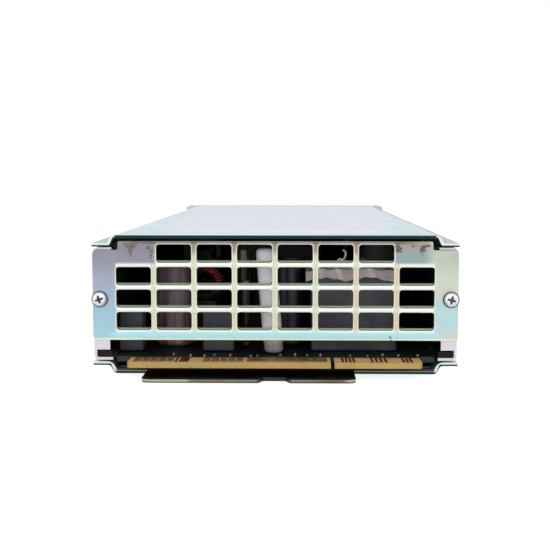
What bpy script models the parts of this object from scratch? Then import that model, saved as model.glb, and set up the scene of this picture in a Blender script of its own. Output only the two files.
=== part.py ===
"""Hot-swap rectifier module: a flat steel case with a pierced rear panel over a card edge,
and a faceplate with a pull handle, a sliding latch and two fans at the other end.

Metres, +Z up. The rear panel faces -Y and the faceplate faces +Y. The pieces are children of
one empty on the rear panel's outer face, so a local y is a depth behind that face.
"""

import math

import bmesh
import bpy
from mathutils import Matrix, Vector

# Case
WIDTH = 0.105
HEIGHT = 0.040
CASE_LENGTH = 0.273
SHEET = 0.001
WALL_SHEET = 0.0008
RAIL_WIDTH = 0.0049
JOGGLE_RUN = 0.0014
TOP_STEP = 0.0023
BOTTOM_STEP = 0.0024
FOLD_RADIUS = 0.0012
WALL_FLANGE = 0.0054
SEAT_GAP = 0.0003

# Rear panel and its grille
PANEL_SHEET = 0.001
PANEL_BOTTOM = 0.0097
PANEL_TOP_GAP = 0.0007
PANEL_SHOULDER_GAP = 0.0006
PANEL_SIDE_GAP = 0.0001
PANEL_NECK = 0.0011
PANEL_CORNER = 0.0012
HOLE_WIDTH = 0.010
HOLE_HEIGHT = 0.0052
HOLE_CORNER = 0.0008
HOLE_PITCH_X = 0.0116
HOLE_PITCH_Z = 0.0065
GRILLE_MARGIN = 0.0065
GRILLE_EDGE = 0.0008
GRILLE_RISE = 0.00095
PANEL_TAB = 0.0042
PANEL_TAB_BOTTOM = 0.0067
REAR_SCREW_INSET = 0.0025
REAR_SCREW_HEIGHT = 0.0216

# Tongue of the base plate
TONGUE_REACH = 0.0133
TONGUE_ROOT = 0.006
TONGUE_LEFT = 0.0369
TONGUE_RIGHT = 0.0227
TONGUE_CORNER = 0.0022
NOTCH_HALF_WIDTH = 0.0031
NOTCH_DEPTH = 0.0029
NOTCH_FLARE = 0.0012

# Main board
BOARD_SHEET = 0.0016
BOARD_LIFT = 0.0021
BOARD_HALF_GAP = 0.0065
BOARD_START = 0.002
BOARD_END_GAP = 0.034
TAB_INSET = 0.0045
TAB_REACH = 0.008
TAB_CHAMFER = 0.0008
KEY_X = 0.0164
KEY_WIDTH = 0.0011
KEY_LENGTH = 0.0093
BOARD_HOLE_RADIUS = 0.0016
BOARD_SCREW_INSET = 0.005
BOARD_SCREW_REAR = 0.046
BOARD_SCREW_FRONT = 0.005
FILM_SHEET = 0.0004
FILM_INSET = 0.001
GUIDE_WIDTH = 0.0043
GUIDE_HEIGHT = 0.0016
GUIDE_START = 0.001

# Fasteners
SCREW_HEAD_RADIUS = 0.0024
SCREW_HEAD_HEIGHT = 0.0018
SCREW_SHANK_RADIUS = 0.00125
SCREW_HOLE_GAP = 0.00025
SCREW_LENGTH = 0.005
FLUSH_HEAD_RADIUS = 0.0020
FLUSH_HEAD_HEIGHT = 0.0008
FLUSH_LENGTH = 0.0038
COVER_SCREW_ENDS = 0.030
STANDOFF_RADIUS = 0.003

# Faceplate
BEZEL_DEPTH = 0.015
FACE_SHEET = 0.003
RIM_WALL = 0.002
BEZEL_CORNER = 0.0015
VENT_ACROSS = 0.0054
VENT_WEB = 0.0012
VENT_SIDE_MARGIN = 0.0105
VENT_BOTTOM = 0.0045
CLIP_LENGTH = 0.006
CLIP_THICKNESS = 0.0021
CLIP_HEIGHT = 0.012

# Handle
HINGE_HEIGHT = 0.0052
HINGE_OUT = 0.0038
HANDLE_HALF_WIDTH = 0.031
HANDLE_ARM = 0.0045
HANDLE_DEPTH = 0.005
HANDLE_BAR = 0.0048
HANDLE_TOP_GAP = 0.009
HANDLE_CORNER = 0.003
HANDLE_SWING = 80.0
TOE_REACH = 0.0047
TOE_WIDTH = 0.0022
EAR_RADIUS = 0.0034
EAR_WIDTH = 0.0026
EAR_GAP = 0.0004
PIN_RADIUS = 0.0012
PIN_GAP = 0.00015
TOE_POCKET = 0.0021

# Latch
LATCH_X = 0.014
LATCH_HALF_WIDTH = 0.0065
LATCH_HEIGHT = 0.0046
LATCH_THICKNESS = 0.003
LATCH_TRAVEL = 0.005
LATCH_TOP_GAP = 0.0028
STEM_HALF_WIDTH = 0.003
STEM_HEIGHT = 0.0016
KEEPER_THICKNESS = 0.0012
KEEPER_MARGIN = 0.0022
RIB_COUNT = 5

# Indicators
PIPE_RADIUS = 0.0013
PIPE_GAP = 0.00015
PIPE_PROUD = 0.0004
PIPE_COUNT = 3
PIPE_PITCH = 0.0065
PIPE_LOWEST = 0.0135
INDICATOR_BOARD_WIDTH = 0.0048
INDICATOR_BOARD_SHEET = 0.0012

# Fans
FAN_DEPTH = 0.028
FAN_WALL = 0.0007
FAN_FLANGE = 0.0032
FAN_CORNER = 0.0025
FAN_SCREW_HOLE = 0.0018
FAN_SCREW_INSET = 0.0031
HUB_RADIUS = 0.0095
BLADE_TIP_GAP = 0.0006
BLADE_COUNT = 7
BLADE_SHEET = 0.0009
BLADE_TWIST = 38.0
STRUT_COUNT = 4
STRUT_WIDTH = 0.0026
STRUT_DEPTH = 0.0022
FAN_STEPS = 28

# Components behind the grille, each at its place from the centre line and behind the panel
COMPONENT_LIFT = 0.0003
COMPONENT_EASE = 0.0004
SLAB_WIDTH = 0.007
SLAB_DEPTH = 0.006
SLAB_HEADROOM = 0.0033
SLAB_LEAN = 5.4
SLAB_X = -0.0023
SLAB_START = 0.0045
CHOKE_WIDTH = 0.0255
CHOKE_DEPTH = 0.024
CHOKE_HEADROOM = 0.0118
CHOKE_X = 0.02325
CHOKE_START = 0.010
TAPE_SHEET = 0.0004
TAPE_WIDTH = 0.0245
TAPE_RISE = 0.002
TAPE_DROP = 0.0025
BROWN_RADIUS = 0.00625
BROWN_HEADROOM = 0.009
BROWN_X = -0.031
BROWN_DEPTH = 0.0224
NAVY_RADIUS = 0.005
NAVY_HEADROOM = 0.0075
NAVY_X = 0.0046
NAVY_DEPTH = 0.022
BLOCK_HEIGHT = 0.0125
BLOCK_WIDTH = 0.0072
BLOCK_DEPTH = 0.0066
BLOCK_START = 0.009
BLOCK_OVERHANG = 0.0005
WIDE_BLOCK_WIDTH = 0.0092
WIDE_BLOCK_DEPTH = 0.0055
WIDE_BLOCK_X = -0.017
PIN_CAN_RADIUS = 0.0016
SHORT_CAN_HEADROOM = 0.0136
SHORT_CAN_X = -0.0091
SHORT_CAN_DEPTH = 0.017
TALL_CAN_HEADROOM = 0.0048
TALL_CAN_X = -0.0101
TALL_CAN_DEPTH = 0.0242
TOROID_RADIUS = 0.0076
TOROID_SECTION = 0.0026
TOROID_HEADROOM = 0.009
TOROID_X = -0.0233
TOROID_DEPTH = 0.0361
TOROID_STEPS = 14
SECTION_STEPS = 6
CRADLE_WIDTH = 0.0085
CRADLE_DEPTH = 0.0058
CRADLE_GRIP = 0.0016

# Components farther in: a column along each side of the board, and one in the middle
ROW_GAP = 0.0015
EDGE_GAP = 0.0005
BULK_RADIUS = 0.011
BULK_HEADROOM = 0.0045
SINK_WIDTH = 0.017
SINK_HEADROOM = 0.0035
SINK_FIN = 0.0011
SINK_FINS = 5
SINK_BACK = 0.003
CORE_WIDTH = 0.029
CORE_LENGTH = 0.033
CORE_HEADROOM = 0.006
CORE_LIMB = 0.0075
CORE_DEPTH = 0.020
YOKE = 0.0052
COIL_GAP = 0.0006
DEVICE_WIDTH = 0.0155
DEVICE_HEIGHT = 0.020
DEVICE_SHEET = 0.0045
DEVICE_LIFT = 0.006
DEVICE_START = 0.012
DEVICE_PITCH = 0.030
DEVICE_COUNT = 2
INPUT_CHOKE_RADIUS = 0.0135
INPUT_CHOKE_BORE = 0.0055
INPUT_CHOKE_HEIGHT = 0.013
BRIDGE_WIDTH = 0.022
BRIDGE_HEIGHT = 0.018
BRIDGE_SHEET = 0.0038
CONTROL_HEADROOM = 0.007
CONTROL_SHEET = 0.0014

ROUND_STEPS = 18
SMALL_STEPS = 10
CORNER_STEPS = 3
WELD = 0.000001
FLAT_ANGLE = 0.0005

# Levels and lines that several pieces share
CEILING = HEIGHT - SHEET
RAIL_TOP = HEIGHT - TOP_STEP
RAIL_UNDERSIDE = RAIL_TOP - SHEET
WALL_TOP = RAIL_UNDERSIDE - SEAT_GAP
WALL_BOTTOM = BOTTOM_STEP + SHEET + SEAT_GAP
WALL_X = WIDTH / 2 - PANEL_SIDE_GAP
BOARD_BOTTOM = SHEET + BOARD_LIFT
BOARD_TOP = BOARD_BOTTOM + BOARD_SHEET
FLOOR = BOARD_TOP + COMPONENT_LIFT
BOARD_HALF = WIDTH / 2 - BOARD_HALF_GAP
TAB_HALF = BOARD_HALF - TAB_INSET
SHEETS_END = CASE_LENGTH - BEZEL_DEPTH - SEAT_GAP
BOARD_END = SHEETS_END - BOARD_END_GAP
ROWS_START = BOARD_SCREW_REAR + STANDOFF_RADIUS + ROW_GAP
ROWS_END = BOARD_END - BOARD_SCREW_FRONT - STANDOFF_RADIUS - ROW_GAP
COLUMN_EDGE = BOARD_HALF - EDGE_GAP
SINK_X = COLUMN_EDGE - SINK_WIDTH
SINK_LENGTH = ROWS_END - ROWS_START - 2 * BULK_RADIUS - ROW_GAP
TAB_DEPTH = PANEL_SHEET + SEAT_GAP
FACE_OUT = HINGE_OUT + EAR_RADIUS
REAR_Y = (TONGUE_REACH - CASE_LENGTH - FACE_OUT) / 2
HOLE_RADIUS = SCREW_SHANK_RADIUS + SCREW_HOLE_GAP
FAN_SIZE = HEIGHT - 2 * SHEET - 2 * SEAT_GAP
FAN_HALF = FAN_SIZE / 2
FAN_BORE = FAN_HALF - FAN_WALL
FAN_HEIGHT = SHEET + SEAT_GAP + FAN_HALF
FAN_X = (WALL_X - WALL_SHEET) / 2
FAN_START = SHEETS_END - FAN_DEPTH
HANDLE_TOP = HEIGHT - HANDLE_TOP_GAP
LATCH_CENTRE = HEIGHT - LATCH_TOP_GAP - LATCH_HEIGHT / 2
EAR_X = HANDLE_HALF_WIDTH + EAR_GAP + EAR_WIDTH / 2
CLIP_OUTER = WIDTH / 2 - RIM_WALL / 2
PIPE_X = -(CLIP_OUTER - CLIP_THICKNESS - SEAT_GAP - INDICATOR_BOARD_WIDTH / 2)


def clear_scene():
    for old in list(bpy.data.objects):
        bpy.data.objects.remove(old, do_unlink=True)


def material(name, colour, roughness, metallic=0.0):
    made = bpy.data.materials.new(name)
    made.use_nodes = True
    shader = made.node_tree.nodes["Principled BSDF"]
    shader.inputs["Base Color"].default_value = (*colour, 1.0)
    shader.inputs["Roughness"].default_value = roughness
    shader.inputs["Metallic"].default_value = metallic
    return made


def empty(name, place, parent=None):
    made = bpy.data.objects.new(name, None)
    bpy.context.scene.collection.objects.link(made)
    made.location = place
    made.parent = parent
    return made


def add(name, bm, finish, parent, place=(0.0, 0.0, 0.0), smooth=False):
    """Turn a bmesh into a named object, under its parent."""
    bmesh.ops.recalc_face_normals(bm, faces=bm.faces)
    mesh = bpy.data.meshes.new(name)
    bm.to_mesh(mesh)
    bm.free()
    if smooth:
        mesh.shade_smooth()
        mesh.set_sharp_from_angle(angle=math.radians(40))
    mesh.materials.append(finish)
    made = bpy.data.objects.new(name, mesh)
    bpy.context.scene.collection.objects.link(made)
    made.parent = parent
    made.location = place
    return made


def combined(first, second, operation):
    """One bmesh from two by a Boolean, for the forms that a single profile can't give."""
    objects = []
    for bm in (first, second):
        bmesh.ops.recalc_face_normals(bm, faces=bm.faces)
        mesh = bpy.data.meshes.new("shape")
        bm.to_mesh(mesh)
        bm.free()
        shape = bpy.data.objects.new("shape", mesh)
        bpy.context.scene.collection.objects.link(shape)
        objects.append(shape)
    change = objects[0].modifiers.new("change", "BOOLEAN")
    change.operation = operation
    change.object = objects[1]
    change.solver = "EXACT"
    shaped = objects[0].evaluated_get(bpy.context.evaluated_depsgraph_get())
    result = bmesh.new()
    result.from_mesh(shaped.to_mesh())
    shaped.to_mesh_clear()
    for shape in objects:
        mesh = shape.data
        bpy.data.objects.remove(shape, do_unlink=True)
        bpy.data.meshes.remove(mesh)
    bmesh.ops.remove_doubles(result, verts=result.verts, dist=WELD)
    bmesh.ops.dissolve_limit(
        result,
        angle_limit=FLAT_ANGLE,
        use_dissolve_boundaries=False,
        verts=result.verts,
        edges=result.edges,
    )
    bmesh.ops.triangulate(result, faces=result.faces)
    return result


def joined(first, *others):
    for other in others:
        first = combined(first, other, "UNION")
    return first


def cut(first, *others):
    for other in others:
        first = combined(first, other, "DIFFERENCE")
    return first


def rounded(points, radius, steps=CORNER_STEPS, closed=True):
    """An outline with each corner replaced by an arc; radius is one value or one per point."""
    radii = radius if isinstance(radius, (list, tuple)) else [radius] * len(points)
    result = []
    count = len(points)
    for index, (corner, size) in enumerate(zip(points, radii)):
        corner = Vector(corner)
        at_end = not closed and index in (0, count - 1)
        if at_end or size <= 0.0:
            result.append(corner)
            continue
        before = (Vector(points[index - 1]) - corner).normalized()
        after = (Vector(points[(index + 1) % count]) - corner).normalized()
        half = before.angle(after) / 2
        reach = size / math.tan(half)
        centre = corner + (before + after).normalized() * (size / math.sin(half))
        start = corner + before * reach - centre
        end = corner + after * reach - centre
        sweep = start.angle_signed(end)
        for step in range(steps + 1):
            angle = -sweep * step / steps
            turned_arm = Matrix.Rotation(angle, 2) @ start
            result.append(centre + turned_arm)
    return result


def folded_sheet(path, thickness, radius):
    """The outline of a folded sheet: a path with round folds, and its offset to the left."""
    outer = rounded(path, radius, closed=False)
    inner = []
    for index, point in enumerate(outer):
        ahead = outer[min(index + 1, len(outer) - 1)] - point
        behind = point - outer[max(index - 1, 0)]
        directions = [way.normalized() for way in (ahead, behind) if way.length > 0.0]
        way = sum(directions, Vector((0.0, 0.0))).normalized()
        normal = Vector((-way.y, way.x))
        half_turn = directions[0].angle(way) if len(directions) == 2 else 0.0
        inner.append(point + normal * thickness / math.cos(half_turn))
    return outer + inner[::-1]


def box_outline(left, bottom, right, top):
    return [(left, bottom), (right, bottom), (right, top), (left, top)]


def circle(radius, centre=(0.0, 0.0), steps=ROUND_STEPS, phase=0.5):
    """A circle's points; the phase turns it by a share of one step."""
    points = []
    for step in range(steps):
        angle = math.tau * (step + phase) / steps
        points.append((centre[0] + radius * math.cos(angle), centre[1] + radius * math.sin(angle)))
    return points


def prism(outline, start, end, axis="Y", holes=()):
    """A flat outline with its holes, carried straight from start to end along an axis."""
    lift = {
        "X": lambda u, v: (start, u, v),
        "Y": lambda u, v: (u, start, v),
        "Z": lambda u, v: (u, v, start),
    }[axis]
    way = {"X": (1, 0, 0), "Y": (0, 1, 0), "Z": (0, 0, 1)}[axis]
    bm = bmesh.new()
    for loop in (outline, *holes):
        corners = [bm.verts.new(lift(point[0], point[1])) for point in loop]
        for index, corner in enumerate(corners):
            bm.edges.new((corner, corners[(index + 1) % len(corners)]))
    bmesh.ops.triangle_fill(bm, edges=bm.edges, use_beauty=True, use_dissolve=False)
    grown = bmesh.ops.extrude_face_region(bm, geom=list(bm.faces))
    moved = [item for item in grown["geom"] if isinstance(item, bmesh.types.BMVert)]
    bmesh.ops.translate(bm, verts=moved, vec=Vector(way) * (end - start))
    return bm


def block(low, high, bevel=0.0):
    """A box between two corners, its edges eased by a bevel."""
    bm = bmesh.new()
    bmesh.ops.create_cube(bm, size=1.0)
    size = [b - a for a, b in zip(low, high)]
    middle = [(a + b) / 2 for a, b in zip(low, high)]
    bmesh.ops.scale(bm, vec=size, verts=bm.verts)
    bmesh.ops.translate(bm, vec=middle, verts=bm.verts)
    if bevel > 0.0:
        bmesh.ops.bevel(bm, geom=bm.edges, offset=bevel, segments=2, profile=0.5, affect="EDGES")
    return bm


def turned(profile, steps=ROUND_STEPS, ring=False):
    """A profile of (radius, height) points turned about Z; a ring's profile closes on itself."""
    bm = bmesh.new()
    rows = []
    for radius, height in profile:
        if radius <= 0.0:
            rows.append([bm.verts.new((0.0, 0.0, height))])
        else:
            rows.append([bm.verts.new((x, y, height)) for x, y in circle(radius, steps=steps)])
    pairs = list(zip(rows, rows[1:]))
    if ring:
        pairs.append((rows[-1], rows[0]))
    for low, high in pairs:
        for step in range(steps):
            after = (step + 1) % steps
            corners = []
            corners.extend(low if len(low) == 1 else (low[step], low[after]))
            corners.extend(high if len(high) == 1 else (high[after], high[step]))
            bm.faces.new(corners)
    return bm


def rod(radius, start, end, axis="Z", centre=(0.0, 0.0), steps=ROUND_STEPS):
    """A plain cylinder along an axis; its centre is given in the other two coordinates."""
    return prism(circle(radius, centre, steps), start, end, axis)


def moved(bm, place=(0.0, 0.0, 0.0), turn=None):
    if turn is not None:
        bm.transform(turn)
    bmesh.ops.translate(bm, vec=place, verts=bm.verts)
    return bm


def mirrored(bm):
    """The same shape on the other side of the centre plane."""
    bmesh.ops.scale(bm, vec=(-1.0, 1.0, 1.0), verts=bm.verts)
    return bm


# Sheet-metal case

def rail_path(centre_level, rail_level):
    """A sheet's path across the case: the centre band, and a rail one step away on each side."""
    rail = WIDTH / 2
    step_out = rail - RAIL_WIDTH
    step_in = step_out - JOGGLE_RUN
    half = [(step_in, centre_level), (step_out, rail_level), (rail, rail_level)]
    return [(-x, z) for x, z in half[::-1]] + half


def centre_half_width():
    return WIDTH / 2 - RAIL_WIDTH - JOGGLE_RUN


def tongue():
    """The tongue under the card edge, with a flared notch in its outer edge."""
    flare = NOTCH_HALF_WIDTH + NOTCH_FLARE
    notch_floor = NOTCH_DEPTH - TONGUE_REACH
    outline = [
        (-TONGUE_LEFT, TONGUE_ROOT),
        (-TONGUE_LEFT, -TONGUE_REACH),
        (-flare, -TONGUE_REACH),
        (-NOTCH_HALF_WIDTH, notch_floor),
        (NOTCH_HALF_WIDTH, notch_floor),
        (flare, -TONGUE_REACH),
        (TONGUE_RIGHT, -TONGUE_REACH),
        (TONGUE_RIGHT, TONGUE_ROOT),
    ]
    eased = TONGUE_CORNER / 3
    radii = [0.0, TONGUE_CORNER, eased, eased, eased, eased, TONGUE_CORNER, 0.0]
    return prism(rounded(outline, radii), 0.0, SHEET, "Z")


def make_base_plate(case, finish):
    path = rail_path(0.0, BOTTOM_STEP)
    sheet = prism(folded_sheet(path, SHEET, FOLD_RADIUS), 0.0, SHEETS_END)
    add("base_plate", joined(sheet, tongue()), finish, case)


def cover_screw_places():
    x = WIDTH / 2 - RAIL_WIDTH / 2
    depths = (COVER_SCREW_ENDS, SHEETS_END - COVER_SCREW_ENDS)
    return [(side * x, depth) for side in (-1, 1) for depth in depths]


def make_top_cover(case, finish):
    path = rail_path(CEILING, RAIL_UNDERSIDE)
    sheet = prism(folded_sheet(path, SHEET, FOLD_RADIUS), 0.0, SHEETS_END)
    head = FLUSH_HEAD_RADIUS + SCREW_HOLE_GAP
    sink = [
        (0.0, RAIL_UNDERSIDE - SHEET),
        (HOLE_RADIUS, RAIL_UNDERSIDE - SHEET),
        (HOLE_RADIUS, RAIL_TOP - FLUSH_HEAD_HEIGHT),
        (head, RAIL_TOP + SEAT_GAP / 3),
        (0.0, RAIL_TOP + SEAT_GAP / 3),
    ]
    holes = [moved(turned(sink, SMALL_STEPS), (x, y, 0.0)) for x, y in cover_screw_places()]
    add("top_cover", cut(sheet, *holes), finish, case)


def make_side_wall(name, case, finish, side):
    """A channel open to the inside, with a tab folded in behind the rear panel."""
    lip = WIDTH / 2 - PANEL_SIDE_GAP - WALL_FLANGE
    path = [(lip, WALL_BOTTOM), (WALL_X, WALL_BOTTOM), (WALL_X, WALL_TOP), (lip, WALL_TOP)]
    channel = prism(folded_sheet(path, WALL_SHEET, FOLD_RADIUS), TAB_DEPTH, SHEETS_END)
    outer = WALL_X - WALL_SHEET / 2
    tab = box_outline(outer - PANEL_TAB, PANEL_TAB_BOTTOM, outer, WALL_TOP - WALL_SHEET / 2)
    screw_x = WALL_X - REAR_SCREW_INSET
    hole = circle(HOLE_RADIUS, (screw_x, REAR_SCREW_HEIGHT), SMALL_STEPS)
    channel = joined(channel, prism(tab, TAB_DEPTH, TAB_DEPTH + WALL_SHEET, holes=[hole]))
    low = WALL_TOP - 2 * WALL_SHEET
    high = WALL_TOP + WALL_SHEET
    places = [place for place in cover_screw_places() if place[0] > 0.0]
    channel = cut(channel, *[rod(HOLE_RADIUS, low, high, "Z", at, SMALL_STEPS) for at in places])
    add(name, channel if side > 0 else mirrored(channel), finish, case)


def panel_outline():
    neck = centre_half_width() - PANEL_NECK
    top = CEILING - PANEL_TOP_GAP
    shoulder = WALL_TOP - PANEL_SHOULDER_GAP
    half = [(WALL_X, PANEL_BOTTOM), (WALL_X, shoulder), (neck, shoulder), (neck, top)]
    outline = half + [(-x, z) for x, z in half[::-1]]
    small = PANEL_CORNER / 2
    radii = [PANEL_CORNER, PANEL_CORNER, small, small]
    return outline, radii + radii[::-1], neck, shoulder, top


def grille_holes():
    """As many openings as the panel holds; the shoulders leave out the top row's outer ones."""
    _, _, neck, shoulder, top = panel_outline()
    bar_x = HOLE_PITCH_X - HOLE_WIDTH
    bar_z = HOLE_PITCH_Z - HOLE_HEIGHT
    columns = int((2 * (WALL_X - GRILLE_MARGIN) + bar_x) / HOLE_PITCH_X)
    rows = int((top - PANEL_BOTTOM - 2 * GRILLE_EDGE + bar_z) / HOLE_PITCH_Z)
    slack = (top - PANEL_BOTTOM - rows * HOLE_PITCH_Z + bar_z) / 2 - GRILLE_EDGE
    middle = (PANEL_BOTTOM + top) / 2 + min(GRILLE_RISE, slack)
    holes = []
    for row in range(rows):
        z = middle + (row - (rows - 1) / 2) * HOLE_PITCH_Z
        above_shoulder = z + HOLE_HEIGHT / 2 > shoulder - GRILLE_EDGE
        reach = neck - GRILLE_EDGE if above_shoulder else WALL_X
        for column in range(columns):
            x = (column - (columns - 1) / 2) * HOLE_PITCH_X
            if abs(x) + HOLE_WIDTH / 2 > reach:
                continue
            across = HOLE_WIDTH / 2
            tall = HOLE_HEIGHT / 2
            outline = box_outline(x - across, z - tall, x + across, z + tall)
            holes.append(rounded(outline, HOLE_CORNER, steps=2))
    return holes


def make_rear_panel(case, finish):
    outline, radii, _, _, _ = panel_outline()
    holes = grille_holes()
    for side in (-1, 1):
        x = side * (WALL_X - REAR_SCREW_INSET)
        holes.append(circle(HOLE_RADIUS, (x, REAR_SCREW_HEIGHT), SMALL_STEPS))
    panel = prism(rounded(outline, radii), 0.0, PANEL_SHEET, holes=holes)
    add("rear_panel", panel, finish, case)


# Fasteners

def pan_screw(length):
    """A screw along Z: a domed head above z = 0 and a plain shank below."""
    edge = SCREW_HEAD_HEIGHT * 0.35
    profile = [
        (0.0, -length),
        (SCREW_SHANK_RADIUS * 0.6, -length),
        (SCREW_SHANK_RADIUS, -length + SCREW_SHANK_RADIUS / 2),
        (SCREW_SHANK_RADIUS, 0.0),
        (SCREW_HEAD_RADIUS, 0.0),
        (SCREW_HEAD_RADIUS, edge),
        (SCREW_HEAD_RADIUS * 0.85, SCREW_HEAD_HEIGHT * 0.8),
        (SCREW_HEAD_RADIUS * 0.45, SCREW_HEAD_HEIGHT),
        (0.0, SCREW_HEAD_HEIGHT),
    ]
    return turned(profile, SMALL_STEPS)


def make_fasteners(case, finish):
    facing_back = Matrix.Rotation(math.pi / 2, 4, "X")
    for side, word in ((-1, "left"), (1, "right")):
        screw = pan_screw(SCREW_LENGTH)
        screw.transform(facing_back)
        place = (side * (WALL_X - REAR_SCREW_INSET), -SEAT_GAP, REAR_SCREW_HEIGHT)
        add(f"rear_screw_{word}", screw, finish, case, place, smooth=True)
    flush = [
        (0.0, -FLUSH_LENGTH),
        (SCREW_SHANK_RADIUS * 0.6, -FLUSH_LENGTH),
        (SCREW_SHANK_RADIUS, -FLUSH_LENGTH + SCREW_SHANK_RADIUS / 2),
        (SCREW_SHANK_RADIUS, -FLUSH_HEAD_HEIGHT),
        (FLUSH_HEAD_RADIUS, 0.0),
        (0.0, 0.0),
    ]
    for number, (x, depth) in enumerate(cover_screw_places(), start=1):
        place = (x, depth, RAIL_TOP)
        screw = turned(flush, SMALL_STEPS)
        add(f"cover_screw_{number}", screw, finish, case, place, smooth=True)


# Main board

def board_screw_places():
    x = BOARD_HALF - BOARD_SCREW_INSET
    depths = (BOARD_SCREW_REAR, BOARD_END - BOARD_SCREW_FRONT)
    return [(side * x, depth) for side in (-1, 1) for depth in depths]


def make_main_board(case, finish):
    """The board, its contact tab standing out of the case, and the keying slot in the tab."""
    tip = -TAB_REACH
    key_left = KEY_X - KEY_WIDTH / 2
    key_right = KEY_X + KEY_WIDTH / 2
    key_end = tip + KEY_LENGTH
    outline = [
        (-TAB_HALF + TAB_CHAMFER, tip),
        (key_left, tip),
        (key_left, key_end),
        (key_right, key_end),
        (key_right, tip),
        (TAB_HALF - TAB_CHAMFER, tip),
        (TAB_HALF, tip + TAB_CHAMFER),
        (TAB_HALF, BOARD_START),
        (BOARD_HALF, BOARD_START),
        (BOARD_HALF, BOARD_END),
        (-BOARD_HALF, BOARD_END),
        (-BOARD_HALF, BOARD_START),
        (-TAB_HALF, BOARD_START),
        (-TAB_HALF, tip + TAB_CHAMFER),
    ]
    holes = [circle(BOARD_HOLE_RADIUS, place, SMALL_STEPS) for place in board_screw_places()]
    board = prism(outline, BOARD_BOTTOM, BOARD_TOP, "Z", holes)
    add("main_board", board, finish, case)


def make_board_supports(case, film, metal, plastic):
    film_half = BOARD_HALF - FILM_INSET
    clear = STANDOFF_RADIUS + SEAT_GAP
    outline = box_outline(-film_half, BOARD_START + FILM_INSET, film_half, BOARD_END)
    holes = [circle(clear, place, SMALL_STEPS) for place in board_screw_places()]
    low = SHEET + SEAT_GAP
    add("insulation_film", prism(outline, low, low + FILM_SHEET, "Z", holes), film, case)
    for number, (x, depth) in enumerate(board_screw_places(), start=1):
        bore = circle(HOLE_RADIUS, steps=SMALL_STEPS)
        height = BOARD_LIFT - 2 * SEAT_GAP
        spacer = prism(circle(STANDOFF_RADIUS, steps=6), 0.0, height, "Z", [bore])
        add(f"standoff_{number}", spacer, metal, case, (x, depth, low))
        length = BOARD_SHEET + BOARD_LIFT - SEAT_GAP
        screw = pan_screw(length)
        add(f"board_screw_{number}", screw, metal, case, (x, depth, FLOOR), smooth=True)
    inner = WALL_X - WALL_SHEET - SEAT_GAP - GUIDE_WIDTH
    low = WALL_BOTTOM + WALL_SHEET + SEAT_GAP
    outline = box_outline(inner, low, inner + GUIDE_WIDTH, low + GUIDE_HEIGHT)
    for side, word in ((-1, "left"), (1, "right")):
        guide = prism(rounded(outline, GUIDE_HEIGHT / 6), GUIDE_START, SHEETS_END)
        guide = guide if side > 0 else mirrored(guide)
        add(f"board_guide_{word}", guide, plastic, case)


# Faceplate

def vent_holes():
    """A honeycomb of openings across the face, clear of the hinge ears, latch and rim."""
    pitch_x = VENT_ACROSS + VENT_WEB
    pitch_z = pitch_x * math.sin(math.pi / 3)
    corner = VENT_ACROSS / math.sqrt(3)
    top = LATCH_CENTRE - LATCH_HEIGHT / 2 - VENT_WEB
    rows = int((top - VENT_BOTTOM - 2 * corner) / pitch_z) + 1
    wide = WIDTH - 2 * VENT_SIDE_MARGIN
    columns = int((wide - VENT_ACROSS - pitch_x / 2) / pitch_x) + 1
    ear_top = HINGE_HEIGHT + EAR_RADIUS
    ear_out = EAR_X + EAR_WIDTH / 2
    ear_in = HANDLE_HALF_WIDTH - HANDLE_ARM - EAR_GAP
    holes = []
    for row in range(rows):
        z = VENT_BOTTOM + corner + row * pitch_z
        shift = (row % 2 - 0.5) * pitch_x / 2
        for column in range(columns):
            x = (column - (columns - 1) / 2) * pitch_x + shift
            half = VENT_ACROSS / 2 + VENT_WEB / 2
            beside_ear = ear_in - half < abs(x) < ear_out + half
            if beside_ear and z - corner < ear_top + VENT_WEB / 2:
                continue
            holes.append(circle(corner, (x, z), steps=6))
    return holes


def pipe_heights():
    return [PIPE_LOWEST + number * PIPE_PITCH for number in range(PIPE_COUNT)]


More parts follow.
